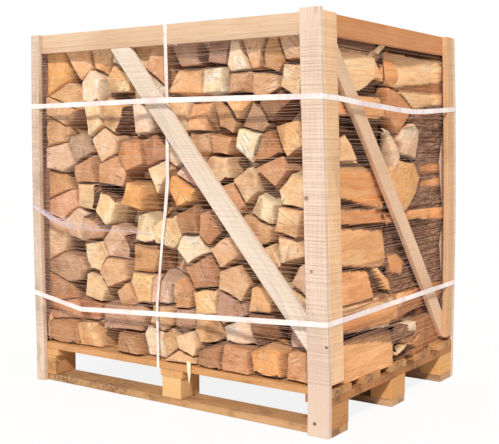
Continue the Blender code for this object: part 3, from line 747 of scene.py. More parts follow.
def detailed_outline(outline, bark_side, draw):
    """Points every few millimetres round the log, with the corners eased and the bark side round.
    Each is (across, up, is bark)."""
    made = []
    for i, ((x1, y1), (x2, y2)) in enumerate(sides_of(outline)):
        length = math.hypot(x2 - x1, y2 - y1)
        steps = max(2, round(length / OUTLINE_STEP))
        along = ((x2 - x1) / length, (y2 - y1) / length)
        ease = min(CORNER_EASE, length * EASE_SHARE)
        hollow = max(0.0, draw.uniform(SPLIT_BULGE, SPLIT_HOLLOW))
        for step in range(steps):
            t = (step + 0.5) / steps
            arch = 4 * t * (1 - t)
            depth = max(0.0, ease - min(t, 1 - t) * length) * EASE_DEEP
            depth += BARK_ARCH * length * (1 - arch) if i == bark_side else hollow * arch
            x = x1 + along[0] * length * t - along[1] * depth
            y = y1 + along[1] * length * t + along[0] * depth
            made.append((x, y, i == bark_side))
    return made


def lumps(x, y, z):
    """Smooth noise from 0 to 2."""
    return noise.noise(Vector((x, y, z))) + 1


def across(point, axis, sign):
    """How far right a point is, for someone who faces the ends."""
    return -sign * point.x if axis == 1 else sign * point.y


def outlines(name, axis, sign):
    """The flat log ends of a CAD course that face along the axis, each as the (across, up) corners
    of its convex outline and how far out it lies."""
    mesh = bmesh.new()
    mesh.from_mesh(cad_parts[name].data)
    bmesh.ops.remove_doubles(mesh, verts=mesh.verts, dist=WELD)
    mesh.normal_update()
    facing = {face for face in mesh.faces if face.normal[axis] * sign > FLAT_END}
    found = []
    while facing:
        group, ahead = set(), [min(facing, key=lambda face: face.index)]
        while ahead:
            face = ahead.pop()
            if face not in facing:
                continue
            facing.discard(face)
            group.add(face)
            ahead.extend(near for edge in face.edges for near in edge.link_faces if near in facing)
        if sum(face.calc_area() for face in group) < LEAST_END:
            continue
        points = {vertex for face in group for vertex in face.verts}
        out = sum(vertex.co[axis] for vertex in points) / len(points)
        found.append((hull([(across(vertex.co, axis, sign), vertex.co.z) for vertex in points]), out))
    mesh.free()
    return sorted(found, key=lambda pair: middle_of(pair[0]))


def side_plane(y, z):
    """How far right the plane of RIGHT_FACES lies there, now that the load has settled."""
    lift = max(0.0, lift_at(z))
    back = y / CAGE_DEPTH + 0.5
    lean = ((1 - back) * LEAN_FRONT + back * LEAN_BACK) * lift
    bow = BOW * math.sin(math.pi * lift)
    return DRAWN_AT - FOLLOWS * lean + bow * (FOLLOWS * back + FOLLOWS - 1)


class RightSide:
    """The faces, hollows and bark that the load shows at its right side."""

    def __init__(self):
        draw = random.Random(77)
        self.faces = []
        for tone, text in RIGHT_FACES:
            corners = hull(number_pairs(text))
            tilt = (draw.uniform(*TILT_BACK), draw.uniform(*TILT_UP))
            depth = draw.uniform(*FACE_DEPTHS)
            shade = draw.uniform(*FACE_SHADES)
            self.faces.append((tone, corners, middle_of(corners), tilt, depth, shade))
        self.crosswise = [hull(number_pairs(text)) for _, _, text in CROSS_ENDS]

    def at(self, x, y, z):
        """(tint, how far in, painted shade, is bark) of the side at that place, or None between the
        faces.
        The hollows and the pockets round the crosswise ends are painted dark, and the faces and the
        bark darker near their edges, all as painted shade.
        """
        if max(margin((y, z), corners) for corners in self.crosswise) > -POCKET_ROOM:
            return linear(*HOLLOW), POCKET_DEPTH, 0.9, False
        beyond = x - side_plane(y, z)
        sway = Vector((y * 30, z * 30, 3.3))
        y += DRAWN_BACK * beyond + WAVER * noise.noise(sway)
        z += -DRAWN_DOWN * beyond + WAVER * noise.noise(sway + Vector((9, 9, 9)))
        for tone, corners, middle, tilt, depth, shade in self.faces:
            inside = margin((y, z), corners)
            if inside < 0:
                continue
            edge = max(0.0, 1 - inside / FACE_EDGE)
            if tone == HOLLOW:
                sunk = min(1.0, inside / HOLLOW_EDGE)
                return linear(*tone), HOLLOW_LIP + HOLLOW_DEPTH * sunk, 0.30 + 0.45 * sunk, False
            slope = (y - middle[0]) * tilt[0] + (z - middle[1]) * tilt[1]
            sunk = max(0.0, depth + slope + EDGE_FALL * edge * edge)
            if tone == BARK:
                return linear(*tone), BARK_LOWER + sunk, 0.15 + 0.3 * edge, True
            return linear(*(min(255, part + shade) for part in tone)), sunk, 0.45 * edge**3, False
        return None


RIGHT_SIDE = RightSide()


def reach_of_cell(cell, middle, point):
    """How many times as far from the middle as this point the log's place in the stack ends."""
    best = MOST_REACH
    for corner, normal in walls_of(cell):
        pace = past(point, middle, normal)
        if pace > 1e-7:
            best = min(best, (past(corner, middle, normal) + OVERLAP) / pace)
    return max(best, LEAST_REACH)


def tone_for(middle, draw):
    """The tone of the log whose end is there, in linear light with a little variation."""
    tone, best = None, TONE_REACH
    for candidate, text in FRONT_TONES.items():
        for place in number_pairs(text):
            near = math.dist(middle, place)
            if near < best:
                tone, best = candidate, near
    if tone is None:
        tone = draw.choices(OTHER_TONES, OTHER_SHARES)[0]
    shift = draw.uniform(0, 10)
    return linear(*(min(255, max(0, part + shift + draw.uniform(-4, 4))) for part in tone))


def join_rings(mesh, first, second, materials=None, smooth=False):
    """Faces between two closed rings of points. materials gives the number of each face's."""
    for i in range(len(first)):
        j = (i + 1) % len(first)
        face = mesh.faces.new((first[i], second[i], second[j], first[j]))
        face.material_index = materials[i] if materials else 0
        face.smooth = smooth


class Log:
    """One split log, built from its cut end inwards on the given place in the stack."""

    def __init__(
        self, cell, out, length, axis, sign, tint, draw, bark=0.0, fit="close", side=0, foot=False
    ):
        """fit is loose for a log with gaps beside its cut end, close for one without, and edge for
        one whose left side also stays full, since the light would show past it. side is 1 or -1 for
        a log whose long side shows at the right end of the load, 1 if that is to the right of its
        cut end. A foot log is one that reaches to the pallet's right edge."""
        self.cell, self.out, self.length = cell, out, length
        self.axis, self.sign, self.side, self.foot = axis, sign, side, foot
        self.tint, self.draw, self.fit = tint, draw, fit
        loose = fit == "loose"
        outline = fewer_corners(cell, draw.choice(CORNER_COUNTS)) if loose else cell
        self.outline = inset(outline, draw, LOOSE_GAP if loose else CLOSE_GAP)
        lengths = [math.dist(a, b) for a, b in sides_of(self.outline)]
        self.bark_side = lengths.index(max(lengths)) if draw.random() < bark else None
        self.points = detailed_outline(self.outline, self.bark_side, draw)
        self.middle = middle_of(self.outline)
        self.size = math.sqrt(abs(area_of(self.outline)))
        self.seed = draw.uniform(0, 40)
        self.choose_pith()
        self.choose_end()
        if side:
            self.edge = max(u * side for u, _ in cell)
            self.ridge = draw.uniform(*RIDGES)

    def choose_pith(self):
        """Where the rings' middle is: opposite the bark, or anywhere near."""
        draw, (u, w) = self.draw, self.middle
        if self.bark_side is None:
            angle, far = draw.uniform(0, 2 * math.pi), self.size * draw.uniform(0.3, 1.1)
            self.pith = (u + math.cos(angle) * far, w + math.sin(angle) * far)
        else:
            across_from = self.bark_side + 2 + len(self.outline) // 3
            corner = self.outline[across_from % len(self.outline)]
            self.pith = self.toward(*corner, draw.uniform(0.7, 1.3))

    def choose_end(self):
        """How the cut end slopes, and the edge from which a second facet of it falls away."""
        draw = self.draw
        lean = (draw.uniform(*LEAN_ACROSS), draw.uniform(*LEAN_UP))
        turned = draw.uniform(0, 2 * math.pi)
        self.facet_way = (math.cos(turned), math.sin(turned))
        self.facet_from = draw.uniform(*FACET_FROM) * self.size
        self.facet_fall = draw.choice(FACET_FALLS)
        if self.fit == "edge":
            lean = (abs(lean[0]) * MORE_SQUARE, lean[1] * MORE_SQUARE)
            self.facet_way = (abs(self.facet_way[0]), self.facet_way[1])
            self.facet_from = FACET_FROM[1] * self.size
        if self.axis == 0:
            lean = (lean[0] * MORE_SQUARE, lean[1] * MORE_SQUARE)
            self.facet_fall = min(self.facet_fall, CROSS_FALL)
        self.lean = lean
        reach = max(math.dist(self.middle, point[:2]) for point in self.points)
        self.recess = math.hypot(*lean) * reach * 0.9 + draw.uniform(0.0, RECESS)

    def toward(self, u, w, share):
        """The point at that share of the way from the end's middle to (u, w)."""
        middle_u, middle_w = self.middle
        return middle_u + (u - middle_u) * share, middle_w + (w - middle_w) * share

    def along(self, u, w, way):
        return (u - self.middle[0]) * way[0] + (w - self.middle[1]) * way[1]

    def facet(self, u, w):
        """How far the point lies beyond the edge between the end's two facets."""
        return max(0.0, self.along(u, w, self.facet_way) - self.facet_from)

    def end_depth(self, u, w, v):
        slope = self.along(u, w, self.lean) + self.facet(u, w) * self.facet_fall
        return v + (self.recess + slope) * max(0.0, 1 - v / END_FADE)

    def place(self, u, w, v):
        """The point that lies (across, up, in) there, as the load has settled."""
        if self.axis == 0:
            return Vector((self.out - self.sign * v, self.sign * u, w))
        u += LEAN_CHANGE * lift_at(w) * v * (0.5 - self.sign * u / PALLET_LENGTH)
        y = self.out - self.sign * v
        if self.foot:
            room = max(FOOT_LEAST, min(x + slope * (y - at) for x, at, slope in FOOT_CORNERS))
            u = self.side * min(u * self.side, room, FOOT_EDGE)
        return Vector((-self.sign * u, y, w))

    def vertex(self, mesh, layers, u, w, v, rim, look=None, dirt=0.0):
        made = mesh.verts.new(self.place(u, w, v))
        tint = look[0] if look else self.tint
        if not look and rim == 0.0 and self.facet_fall > STEEP and self.facet(u, w) > 0:
            tint = toned(tint, *FACET_SHADE)
        made[layers["tint"]] = tint
        made[layers["grain"]] = Vector((u - self.pith[0], w - self.pith[1], v))
        made[layers["seed"]] = self.seed
        made[layers["rim"]] = rim
        made[layers["dirt"]] = look[2] if look else dirt
        return made

    def stations(self):
        if not self.side:
            return [v if v < 1 else self.length for v in LOG_STATIONS if v == 1 or v < self.length]
        *first, start = SIDE_STATIONS
        count = round((self.length - start) / SIDE_PITCH)
        return first + [start + (self.length - start) * i / count for i in range(count + 1)]

    def build_sides(self, mesh, layers):
        """The rings of points along the log, joined to its sides. Returns the first and last ring."""
        full = [reach_of_cell(self.cell, self.middle, point) for point in self.points]
        full_at = FULL_AT_EDGE if self.fit == "edge" else FULL_AT
        rings, barks = [], []
        for v in self.stations():
            filling = min(1.0, v / full_at)
            filling = filling * filling * (3 - 2 * filling)
            # painted shade on the sides, growing from the cut end inwards
            dirt = GAP_PAINTED_SHADE * min(1.0, v / PAINTED_SHADE_FULL_AT)
            ring, bark = [], []
            for (u, w, is_bark), factor in zip(self.points, full):
                u, w = self.toward(u, w, 1 + (factor - 1) * filling)
                away = math.dist((u, w), self.middle) or 1.0
                share = min(0.5, self.roughness(u, w, v, is_bark) * (1 - SMOOTHER * filling) / away)
                look = None
                if self.side:
                    u, share, look = self.seen_side(u, w, v, share)
                u += (self.middle[0] - u) * share
                w += (self.middle[1] - w) * share
                ring.append(self.vertex(mesh, layers, u, w, self.end_depth(u, w, v), 1.0, look, dirt))
                bark.append(look[3] if look else is_bark)
            rings.append(ring)
            barks.append(bark)
        for number in range(len(rings) - 1):
            bark = barks[number + 1]
            kinds = [BARK_SIDE if here and after else SPLIT_SIDE for here, after in sides_of(bark)]
            join_rings(mesh, rings[number], rings[number + 1], kinds, True)
        return rings[0], rings[-1]

    def roughness(self, u, w, v, is_bark):
        """How far in the surface lies there, as torn fibres or bark."""
        swell = lumps(u * 22, w * 22 + self.seed, v * 7)
        if is_bark:
            deep = BARK_SWELL * swell + BARK_ROUGH * lumps(u * 120, w * 120 + self.seed, v * 40)
        else:
            deep = TORN_SWELL * swell + TORN_ROUGH * lumps(u * 90 + self.seed, w * 90, v * 5)
        if v == 0.0:
            deep += MOUTH_WORN + MOUTH_ROUGH * lumps(u * 200, w * 200, self.seed)
        return deep

    def seen_side(self, u, w, v, share):
        """Shapes the long side that shows at the right end of the load. Returns the place across,
        how far the point moves to the middle, and how it looks."""
        beside = self.edge - u * self.side
        if beside > POCKET_DEPTH:
            return u, share, None
        where = self.place(u, w, v)
        look = RIGHT_SIDE.at(where.x + beside, where.y, where.z)
        if look and look[1] == POCKET_DEPTH:
            return (self.edge - POCKET_DEPTH) * self.side, 0.0, look
        if beside > SEEN_DEEP:
            return u, share, None
        weight = min(1.0, (SEEN_DEEP - beside) / SEEN_FADE)
        depth = self.ridge if look is None else look[1]
        depth += SIDE_FIBRES * lumps(self.seed, w * 25, v * 7)
        depth += SIDE_ROUGH * lumps(self.seed, w * 120, v * 6)
        depth = min(depth, SHALLOW + max(0.0, SHALLOW_FROM - where.y) * SHALLOW_SLOPE)
        swollen = (where.y - SWELL_FROM) / SWELL_OVER
        depth -= CORNER_SWELL * min(1.0, max(0.0, swollen))
        return u - depth * weight * self.side, min(share, 0.01), look

    def build_end(self, mesh, layers, mouth):
        """The cut end, in rings from the log's mouth inwards. Returns the innermost."""
        for number, share in enumerate(CAP_RINGS):
            ring = []
            for u, w, _ in self.points:
                u, w = self.toward(u, w, share)
                depth = self.end_depth(u, w, 0.0) - END_PROUD
                depth += END_SWELL * (lumps(u * 60 + self.seed, w * 60, 1.7) - 1)
                depth += END_ROUGH * (lumps(u * 240 + self.seed, w * 240, 4.1) - 1)
                ring.append(self.vertex(mesh, layers, u, w, depth, 1.0 if number == 0 else 0.0))
            kinds = [BARK_SIDE if number == 0 and point[2] else CUT_END for point in self.points]
            join_rings(mesh, ring, mouth, kinds, True)
            mouth = ring
        return mouth

    def close(self, mesh, layers, ring, depth, turned, dirt=0.0):
        """Fans the ring shut, as an end."""
        centre = self.vertex(mesh, layers, *self.middle, depth, 0.0, dirt=dirt)
        for first, second in sides_of(ring):
            mesh.faces.new((second, centre, first) if turned else (first, centre, second)).smooth = True

    def build(self, mesh, layers):
        if area_of(self.outline) < LEAST_CUT_END:
            return
        first, last = self.build_sides(mesh, layers)
        inner = self.build_end(mesh, layers, first)
        self.close(mesh, layers, inner, self.end_depth(*self.middle, 0.0), True)
        # the far end, in the middle of the load, is painted dark, as painted shade
        middle = self.place(*self.middle, self.length)
        within = []
        for vertex in last:
            made = self.vertex(mesh, layers, *self.middle, self.length, 0.0, dirt=1.0)
            made.co = vertex.co.lerp(middle, END_RIM)
            within.append(made)
        join_rings(mesh, last, within)
        self.close(mesh, layers, within, self.length, False, 1.0)


def new_log_mesh():
    mesh = bmesh.new()
    layers = {name: mesh.verts.layers.float.new(name) for name in ("seed", "rim", "dirt")}
    layers["tint"] = mesh.verts.layers.float_color.new("tint")
    layers["grain"] = mesh.verts.layers.float_vector.new("grain")
    return mesh, layers


def finish_piece(name, mesh, materials, replaced=()):
    bmesh.ops.recalc_face_normals(mesh, faces=mesh.faces)
    data = bpy.data.meshes.new(name)
    mesh.to_mesh(data)
    mesh.free()
    for material in materials:
        data.materials.append(material)
    data.set_sharp_from_angle(angle=SHARP)
    piece = bpy.data.objects.new(name, data)
    bpy.context.scene.collection.objects.link(piece)
    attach(piece, "root")
    if replaced:
        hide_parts(*replaced)


def to_left_boards(outline):
    """The outline of a log at the front row's left end, reaching to the cage's side boards."""
    reached = []
    for u, w in outline:
        if u < -LEFT_POST:
            u = -LEFT_BOARD - BOW * math.sin(math.pi * lift_at(w))
        reached.append((u, w))
    return hull(reached)


def to_foot_edge(outline, side):
    """The outline of one of the lowest logs at the right, reaching to the pallet's edge."""
    return hull([(side * FOOT_EDGE if u * side > AT_FOOT else u, w) for u, w in outline])


def front_log(outline, out, lowest):
    """The outline, how far out its end lies, where its tone is looked up and its form."""
    place = middle_of(outline)
    form = {"bark": 0.25, "fit": "loose"}
    if min(u for u, _ in outline) < -ROW_EDGE:
        form["fit"] = "edge"
        outline = to_left_boards(outline)
    if max(u for u, _ in outline) > SHOWS_SIDE:
        form = {"side": 1, "foot": lowest}
        outline = to_foot_edge(outline, 1) if lowest else outline
    return outline, out, place, form


def back_log(outline, out, lowest):
    """The same for a log of the back row, whose ends are not seen: its tone is any."""
    form = {"bark": 0.25, "fit": "loose"}
    if min(u for u, _ in outline) < -ROW_EDGE:
        form = {"fit": "edge", "side": -1, "foot": lowest}
        outline = to_foot_edge(outline, -1) if lowest else outline
        out = BACK_CORNER
    return outline, out, NOWHERE, form


def build_row(row, courses, sign, seed, chosen, materials):
    """A row of logs, one piece for each course of it."""
    for course in range(1, courses + 1):
        node = f"{row}_logs_course_{course}"
        draw = random.Random(seed + course)
        mesh, layers = new_log_mesh()
        for solid_outline, solid_out in outlines(node, 1, sign):
            outline, out, place, form = chosen(solid_outline, solid_out, course == 1)
            tint = tone_for(place, draw)
            length = abs(out) - ROWS_APART - draw.uniform(0.0, LENGTH_CHANGE)
            Log(outline, out, length, 1, sign, tint, draw, **form).build(mesh, layers)
        finish_piece(f"{row}_logs_{course}", mesh, materials, [node])


def surface(name):
    """A tree for finding points on a CAD node."""
    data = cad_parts[name].data
    points = [vertex.co for vertex in data.vertices]
    return BVHTree.FromPolygons(points, [tuple(face.vertices) for face in data.polygons])


def build_cross_logs(materials):
    draw = random.Random(300)
    for level in ("upper", "lower"):
        node = f"cross_logs_{level}"
        solid = surface(node)
        mesh, layers = new_log_mesh()
        for _, tone, corners in (end for end in CROSS_ENDS if end[0] == level):
            outline = hull(number_pairs(corners))
            out = solid.ray_cast(Vector((1, *middle_of(outline))), Vector((-1, 0, 0)))[0].x + CROSS_OUT
            Log(outline, out, CROSS_LENGTH, 0, 1, linear(*tone), draw).build(mesh, layers)
        finish_piece(f"cross_log_ends_{level}", mesh, materials, [node])


# ---------------- boards

UPRIGHT = Vector((0, 0, 1))
BACKWARD = Vector((0, 1, 0))
RIGHTWARD = Vector((1, 0, 0))
BRACE_SLOPE = math.radians(50.4)
EASED_EDGE = 0.0016


def brace_way(turn):
    """The way a brace's grain runs: falling to the right, for someone who faces that side."""
    fall = Vector((math.cos(BRACE_SLOPE), 0, -math.sin(BRACE_SLOPE)))
    return Matrix.Rotation(turn, 3, "Z") @ fall


POST_MARKS = (
    ("hole", (0.553, -0.452, 0.038), 0.005),
    ("knot", (0.522, -0.455, 0.688), 0.007),
    ("hole", (0.591, -0.452, 0.266), 0.004),
    ("knot", (0.540, -0.454, 0.480), 0.005),
)
STRINGER_MARKS = (
    ("dirt", (0.600, -0.400, 0.118), 0.050),
    ("dirt", (0.600, -0.270, 0.105), 0.035),
    ("dirt", (0.600, -0.060, 0.125), 0.060),
    ("dirt", (0.600, 0.110, 0.110), 0.075),
    ("dirt", (0.600, 0.300, 0.120), 0.050),
)
SKID_MARKS = (
    ("dirt", (0.600, -0.420, 0.012), 0.045),
    ("dirt", (-0.480, -0.451, 0.012), 0.130),
    ("dirt", (-0.260, -0.451, 0.012), 0.150),
)
BLOCK_MARKS = (("dirt", (-0.590, -0.452, 0.055), 0.050), ("dirt", (-0.530, -0.452, 0.060), 0.045))
# painted shade: the deck boards' right ends darken under the logs that rest on them
DECK_MARKS = tuple(("dirt", (0.603, 0.2 * place, 0.128), 0.060) for place in range(-2, 3))

BOARDS = {
    "post_front_right_board": Board((219, 196, 175), UPRIGHT, 0.3, 0.30, foot=0.7, marks=POST_MARKS),
    "post_front_right_side_board": Board((235, 194, 150), UPRIGHT, 0.3, 0.35),
    "post_front_left_board": Board((210, 188, 167), UPRIGHT, 0.3, 0.45, mould=0.25),
    # The left post's side board is painted darker and mauve, as painted shade for the shaded gap between
    # the post and the logs
    "post_front_left_side_board": Board((190, 154, 132), UPRIGHT, 0.3, 0.5, mould=0.35),
    "post_back_right_board": Board((222, 196, 172), UPRIGHT, 0.3, 0.35),
    "post_back_right_side_board": Board((216, 173, 130), UPRIGHT, 0.5, 0.6),
    "post_back_left_board": Board((219, 192, 164), UPRIGHT, 0.5, 0.35),
    "post_back_left_side_board": Board((222, 182, 142), UPRIGHT, 0.5, 0.35),
    "rail_front": Board((212, 181, 149), RIGHTWARD, 0.3, 0.45),
    "rail_back": Board((212, 181, 149), RIGHTWARD, 0.6, 0.45),
    "rail_right": Board((205, 142, 91), BACKWARD, 0.2, 0.45),
    "rail_left": Board((206, 150, 102), BACKWARD, 0.5, 0.45),
    "brace_front": Board((221, 205, 186), brace_way(0.0), 0.2, 0.15),
    "brace_back": Board((218, 196, 170), brace_way(math.pi), 0.5, 0.30),
    "brace_right": Board((226, 190, 156), brace_way(math.pi / 2), 0.2, 0.35),
    "brace_left": Board((222, 182, 142), brace_way(-math.pi / 2), 0.5, 0.35),
    "block_front_left": Board((204, 155, 104), RIGHTWARD, 0.2, 0.6, mould=0.3, marks=BLOCK_MARKS),
    "block_front_middle": Board((215, 172, 117), RIGHTWARD, 0.2, 0.25),
    "block_front_right": Board((186, 132, 82), BACKWARD, 0.2, 0.7, mould=0.45),
    "block_middle_right": Board((208, 154, 98), BACKWARD, 0.2, 0.35),
    "block_back_right": Board((216, 164, 106), BACKWARD, 0.2, 0.35),
    "stringer_right": Board((176, 120, 74), BACKWARD, 0.2, 0.7, mould=0.5, marks=STRINGER_MARKS),
    "skid_front": Board((192, 150, 106), RIGHTWARD, 0.3, 0.6, mould=0.5, marks=SKID_MARKS),
}
DECK_BOARD = Board((198, 147, 97), RIGHTWARD, 0.4, 0.45, mould=0.2, marks=DECK_MARKS)
UNSEEN_SKID = Board((190, 150, 112), RIGHTWARD, 0.4, 0.5, mould=0.5)
OTHER_PALLET_WOOD = Board((208, 156, 102), BACKWARD, 0.4, 0.4, mould=0.2)


def board_for(name):
    if name in BOARDS:
        return BOARDS[name]
    if name.startswith("deck"):
        return DECK_BOARD
    return UNSEEN_SKID if name.startswith("skid") else OTHER_PALLET_WOOD


def dress_boards():
    """Every board keeps its CAD solid, with its edges eased and its own run of grain."""
    for number, (name, node) in enumerate(sorted(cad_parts.items())):
        if not name.startswith(("post", "rail", "brace", "skid", "block", "stringer", "deck")):
            continue
        node.data.materials.clear()
        node.data.materials.append(board_for(name).material(name + " wood", number + 1))
        weld = node.modifiers.new("weld", "WELD")
        weld.merge_threshold = WELD
        ease = node.modifiers.new("eased edges", "BEVEL")
        ease.width = EASED_EDGE
        ease.segments = 2
        ease.limit_method = "ANGLE"
        ease.angle_limit = SHARP
        ease.harden_normals = False


TWIST_AT = 0.60  # below this the upright strap is twisted, and shows less of its width
TWISTED, FLAT = 0.58, 0.82
STATION = 0.0025  # points of the strap this near are at one place along it


def dress_straps(material):
    for name in ("strap_upper", "strap_lower"):
        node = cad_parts[name]
        node.data.materials.clear()
        node.data.materials.append(material)
    mesh = bmesh.new()
    mesh.from_mesh(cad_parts["strap_vertical"].data)
    bmesh.ops.remove_doubles(mesh, verts=mesh.verts, dist=WELD)
    stations = {}
    for vertex in mesh.verts:
        station = (round(vertex.co.y / STATION), round(vertex.co.z / STATION))
        stations.setdefault(station, []).append(vertex)
    for vertices in stations.values():
        places = [vertex.co.x for vertex in vertices]
        middle = (min(places) + max(places)) / 2
        for vertex in vertices:
            share = TWISTED if vertex.co.z < TWIST_AT and vertex.co.y < 0 else FLAT
            vertex.co.x = middle + (vertex.co.x - middle) * share
    finish_piece("upright_strap", mesh, [material], ["strap_vertical"])


# ---------------- splinters

# The chips that stick up at the top of the right side: tone, how far right, corners back and up
STANDING_CHIPS = (
    (SAND, 0.534, "(-12.2,111) (-8.6,113.2) (-6,112.3) (-9,111)"),
    (PALE, 0.543, "(-9,112.9) (-4,115.4) (-1.2,115.2) (-6,112.2)"),
)
STANDING_THICK = 0.006
# and the one that hangs at the pallet's edge: corners to the right and up
HANGING_CHIP = "(7.9,15.6) (9.3,15.4) (9.4,12) (8.8,8.4) (8.3,11.5)"
HANGING_THICK = 0.004
HANGING_AT = -0.446
CHIP_SEED = 5.5


def add_splinter(mesh, layers, corners, place, thickness, tone):
    """A flat chip of wood. place gives the point for (across, up, out)."""
    outline = hull(number_pairs(corners))
    middle_u, middle_w = middle_of(outline)
    rings = []
    for out in (-thickness, 0.0):
        ring = []
        for u, w in outline:
            vertex = mesh.verts.new(place(u, w, out))
            vertex[layers["tint"]] = linear(*tone)
            vertex[layers["grain"]] = Vector((u - middle_u, out, w - middle_w))
            vertex[layers["seed"]] = CHIP_SEED
            ring.append(vertex)
        rings.append(ring)
    back, front = rings
    mesh.faces.new(back[::-1]).material_index = SPLIT_SIDE
    mesh.faces.new(front).material_index = SPLIT_SIDE
    join_rings(mesh, back, front, [SPLIT_SIDE] * len(front))


def facing_right(x):
    return lambda u, w, out: Vector((x + out, u, w))


def facing_front(y):
    return lambda u, w, out: Vector((u, y - out, w))


def build_splinters(materials):
    mesh, layers = new_log_mesh()
    for tone, x, corners in STANDING_CHIPS:
        add_splinter(mesh, layers, corners, facing_right(x), STANDING_THICK, tone)
    add_splinter(mesh, layers, HANGING_CHIP, facing_front(HANGING_AT), HANGING_THICK, CREAM)
    finish_piece("splinters", mesh, materials)


# ---------------- net

NET_PITCH = 0.0078
NET_THREAD = 0.00052
NET_LOW, NET_HIGH = 0.16, 1.19
NET_OFF = 0.0008  # the net lies this far off the posts
NET_FRONT = -0.451  # the front posts' faces
NET_BACK = 0.001  # how far within the CAD model's box it lies at the back
NET_STEPS = 14
CORNERS = (("left", "front"), ("right", "front"), ("right", "back"), ("left", "back"))


def post_edge(side, end, height):
    """Where the outer edge of that corner's post is at that height."""
    points = [vertex.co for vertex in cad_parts[f"post_{end}_{side}_board"].data.vertices]
    outwards = 1 if side == "right" else -1
    low = [point for point in points if point.z <= height]
    high = [point for point in points if point.z >= height]
    below = max(low, key=lambda point: (round(point.z, 3), outwards * point.x))
    above = min(high, key=lambda point: (round(point.z, 3), -outwards * point.x))
    if above.z - below.z < 1e-4:
        return outwards * max(outwards * below.x, outwards * above.x)
    share = (height - below.z) / (above.z - below.z)
    return below.x + (above.x - below.x) * share


def net_corner(side, end, height):
    """Where the net goes round that post, clear of it."""
    x = post_edge(side, end, height) + (NET_OFF if side == "right" else -NET_OFF)
    x = max(CAD_LOW.x + NET_THREAD, min(CAD_HIGH.x - NET_THREAD, x))
    y = CAD_HIGH.y - NET_BACK
    if end == "front":
        forward = LEAN_FORWARD * max(0.0, lift_at(height)) if side == "right" else 0.0
        y = max(NET_FRONT - NET_OFF - forward, CAD_LOW.y + NET_THREAD)
    return Vector((x, y, height))


def add_thread(mesh, path, thickness, closed=True):
    """A thread of triangular section along the path."""
    rings = []
    last = len(path) - 1
    for i, point in enumerate(path):
        ahead = path[(i + 1) % len(path)] if closed else path[min(i + 1, last)]
        behind = path[i - 1] if closed else path[max(i - 1, 0)]
        along = (ahead - behind).normalized()
        side = along.cross(UPRIGHT)
        side = side.normalized() if side.length > 0.01 else RIGHTWARD.copy()
        above = side.cross(along) * thickness * 0.5
        side *= thickness * 0.35
        corners = (point + above, point - above + side, point - above - side)
        rings.append([mesh.verts.new(corner) for corner in corners])
    for first, second in zip(rings, rings[1:]):
        join_rings(mesh, first, second)
    if closed:
        join_rings(mesh, rings[-1], rings[0])
    else:
        mesh.faces.new(rings[0])
        mesh.faces.new(rings[-1][::-1])


def build_net(material):
    """The fine net wound round the load: level strands, close together."""
    draw = random.Random(41)
    mesh = bmesh.new()
    z = NET_LOW
    while z < NET_HIGH:
        corners = [net_corner(side, end, z) for side, end in CORNERS]
        for corner in corners:
            corner.z += draw.uniform(-0.003, 0.003)
        path = []
        for first, second in sides_of(corners):
            sag = draw.uniform(-0.002, 0.006)
            for step in range(NET_STEPS):
                t = step / NET_STEPS
                point = first.lerp(second, t)
                point.z -= sag * 4 * t * (1 - t)
                point.z += 0.0012 * noise.noise(point * 9 + Vector((z * 50, 0, 0)))
                path.append(point)
        add_thread(mesh, path, NET_THREAD * draw.uniform(0.6, 1.3))
        z += NET_PITCH * draw.uniform(0.75, 1.25)
    finish_piece("net", mesh, [material])


# Where the net is drawn together into a bunch, across the front: (across, out, up) and its spread
BUNCH = (
    ((-0.606, -0.4523, 0.622), 0.0045),
    ((-0.560, -0.4515, 0.600), 0.0075),
    ((-0.500, -0.4480, 0.572), 0.0150),
    ((-0.420, -0.4440, 0.556), 0.0170),
    ((-0.300, -0.4400, 0.553), 0.0120),
    ((-0.180, -0.4385, 0.556), 0.0080),
    ((-0.060, -0.4400, 0.550), 0.0060),
    ((0.000, -0.4400, 0.520), 0.0050),
)
BUNCH_STRANDS = 44
BUNCH_REACHES = (3, 3, 4, 4, 4, 5, 7)  # how many of those points a strand runs along
BUNCH_STEPS = 4
BUNCH_THREAD = (0.0004, 0.0009)


def build_bunch(material):
    draw = random.Random(43)
    mesh = bmesh.new()
    for strand in range(BUNCH_STRANDS):
        offset = draw.gauss(0, 0.6)
        reach = draw.choice(BUNCH_REACHES)
        path = []
        for number in range(reach):
            (first, wide), (second, next_wide) = BUNCH[number], BUNCH[number + 1]
            for step in range(BUNCH_STEPS if number < reach - 1 else 1):
                t = step / BUNCH_STEPS
                point = Vector(first).lerp(Vector(second), t)
                width = wide + (next_wide - wide) * t
                waver = noise.noise(Vector((point.x * 14, strand * 3.7, 0)))
                point.z += (offset + 0.7 * waver) * width
                point.y -= 0.0004 * draw.random()
                point.x = max(point.x, CAD_LOW.x + 0.0005)
                path.append(point)
        add_thread(mesh, path, draw.uniform(*BUNCH_THREAD), closed=False)
    finish_piece("net_bunch", mesh, [material])


# ---------------- floor and light

KEY_AZIMUTH, KEY_HEIGHT = math.radians(29), math.radians(40)  # to the right of the front, and up
KEY_STRENGTH = 3.2
KEY_SOFTNESS = math.radians(5)
KEY_COLOUR = (1.0, 0.965, 0.92)
SKY_STRENGTH = 0.50
SKY_COLOUR = (0.97, 0.97, 1.0, 1)
WHITE = (1, 1, 1, 1)
FLOOR_COLOUR = (0.85, 0.85, 0.85, 1)
FLOOR_WHITENESS = 0.88  # the floor is seen this much whiter than its shading, as in a studio cut-out


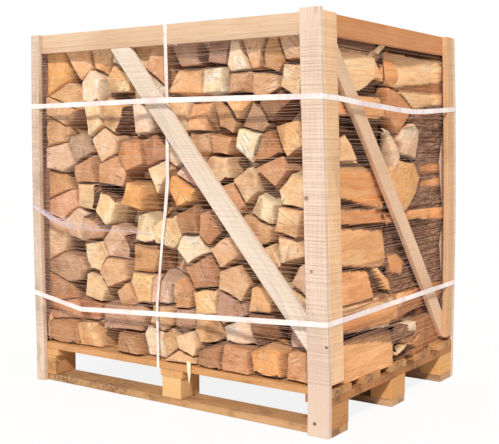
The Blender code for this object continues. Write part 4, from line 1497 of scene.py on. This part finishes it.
def build_floor():
    bpy.ops.mesh.primitive_plane_add(size=30.0, location=(0, 0, -0.0005))
    floor = bpy.context.object
    floor.name = "floor"
    look = Look("floor white", 0.9, 0.0)
    look.shader.inputs["Base Color"].default_value = FLOOR_COLOUR
    glow = look.add("ShaderNodeEmission", {"Color": WHITE, "Strength": 1.0})
    path = look.add("ShaderNodeLightPath")
    whiteness = look.times(path.outputs["Is Camera Ray"], FLOOR_WHITENESS)
    both = look.add("ShaderNodeMixShader", {0: whiteness, 1: look.shader.outputs[0], 2: glow.outputs[0]})
    look.tree.links.new(both.outputs[0], look.tree.nodes["Material Output"].inputs["Surface"])
    floor.data.materials.append(look.material)


def build_light():
    sun = bpy.data.lights.new("key", "SUN")
    sun.energy = KEY_STRENGTH
    sun.angle = KEY_SOFTNESS
    sun.color = KEY_COLOUR
    key = bpy.data.objects.new("key", sun)
    level = math.cos(KEY_HEIGHT)
    toward = Vector((math.sin(KEY_AZIMUTH) * level, -math.cos(KEY_AZIMUTH) * level, math.sin(KEY_HEIGHT)))
    key.rotation_mode = "QUATERNION"
    key.rotation_quaternion = toward.to_track_quat("Z", "Y")
    bpy.context.scene.collection.objects.link(key)

    world = bpy.data.worlds.new("studio")
    bpy.context.scene.world = world
    world.use_nodes = True
    tree = world.node_tree
    tree.nodes.clear()
    path = add(tree, "ShaderNodeLightPath")
    seen = add(tree, "ShaderNodeBackground", {"Color": WHITE, "Strength": 1.0})
    lit = add(tree, "ShaderNodeBackground", {"Color": SKY_COLOUR, "Strength": SKY_STRENGTH})
    shares = {0: path.outputs["Is Camera Ray"], 1: lit.outputs[0], 2: seen.outputs[0]}
    choice = add(tree, "ShaderNodeMixShader", shares)
    add(tree, "ShaderNodeOutputWorld", {"Surface": choice.outputs[0]})
    bpy.context.scene.view_settings.view_transform = "Standard"


def main():
    log_materials = [end_grain_material(), split_side_material(), bark_material()]
    build_row("front", FRONT_COURSES, -1, 100, front_log, log_materials)
    build_row("back", BACK_COURSES, 1, 200, back_log, log_materials)
    build_cross_logs(log_materials)
    build_splinters(log_materials)
    dress_boards()
    dress_straps(strap_material())
    build_net(thread_material("net", (206, 178, 160), (176, 148, 134)))
    build_bunch(thread_material("bunched net", (216, 202, 206), (188, 172, 180)))
    build_floor()
    build_light()


main()
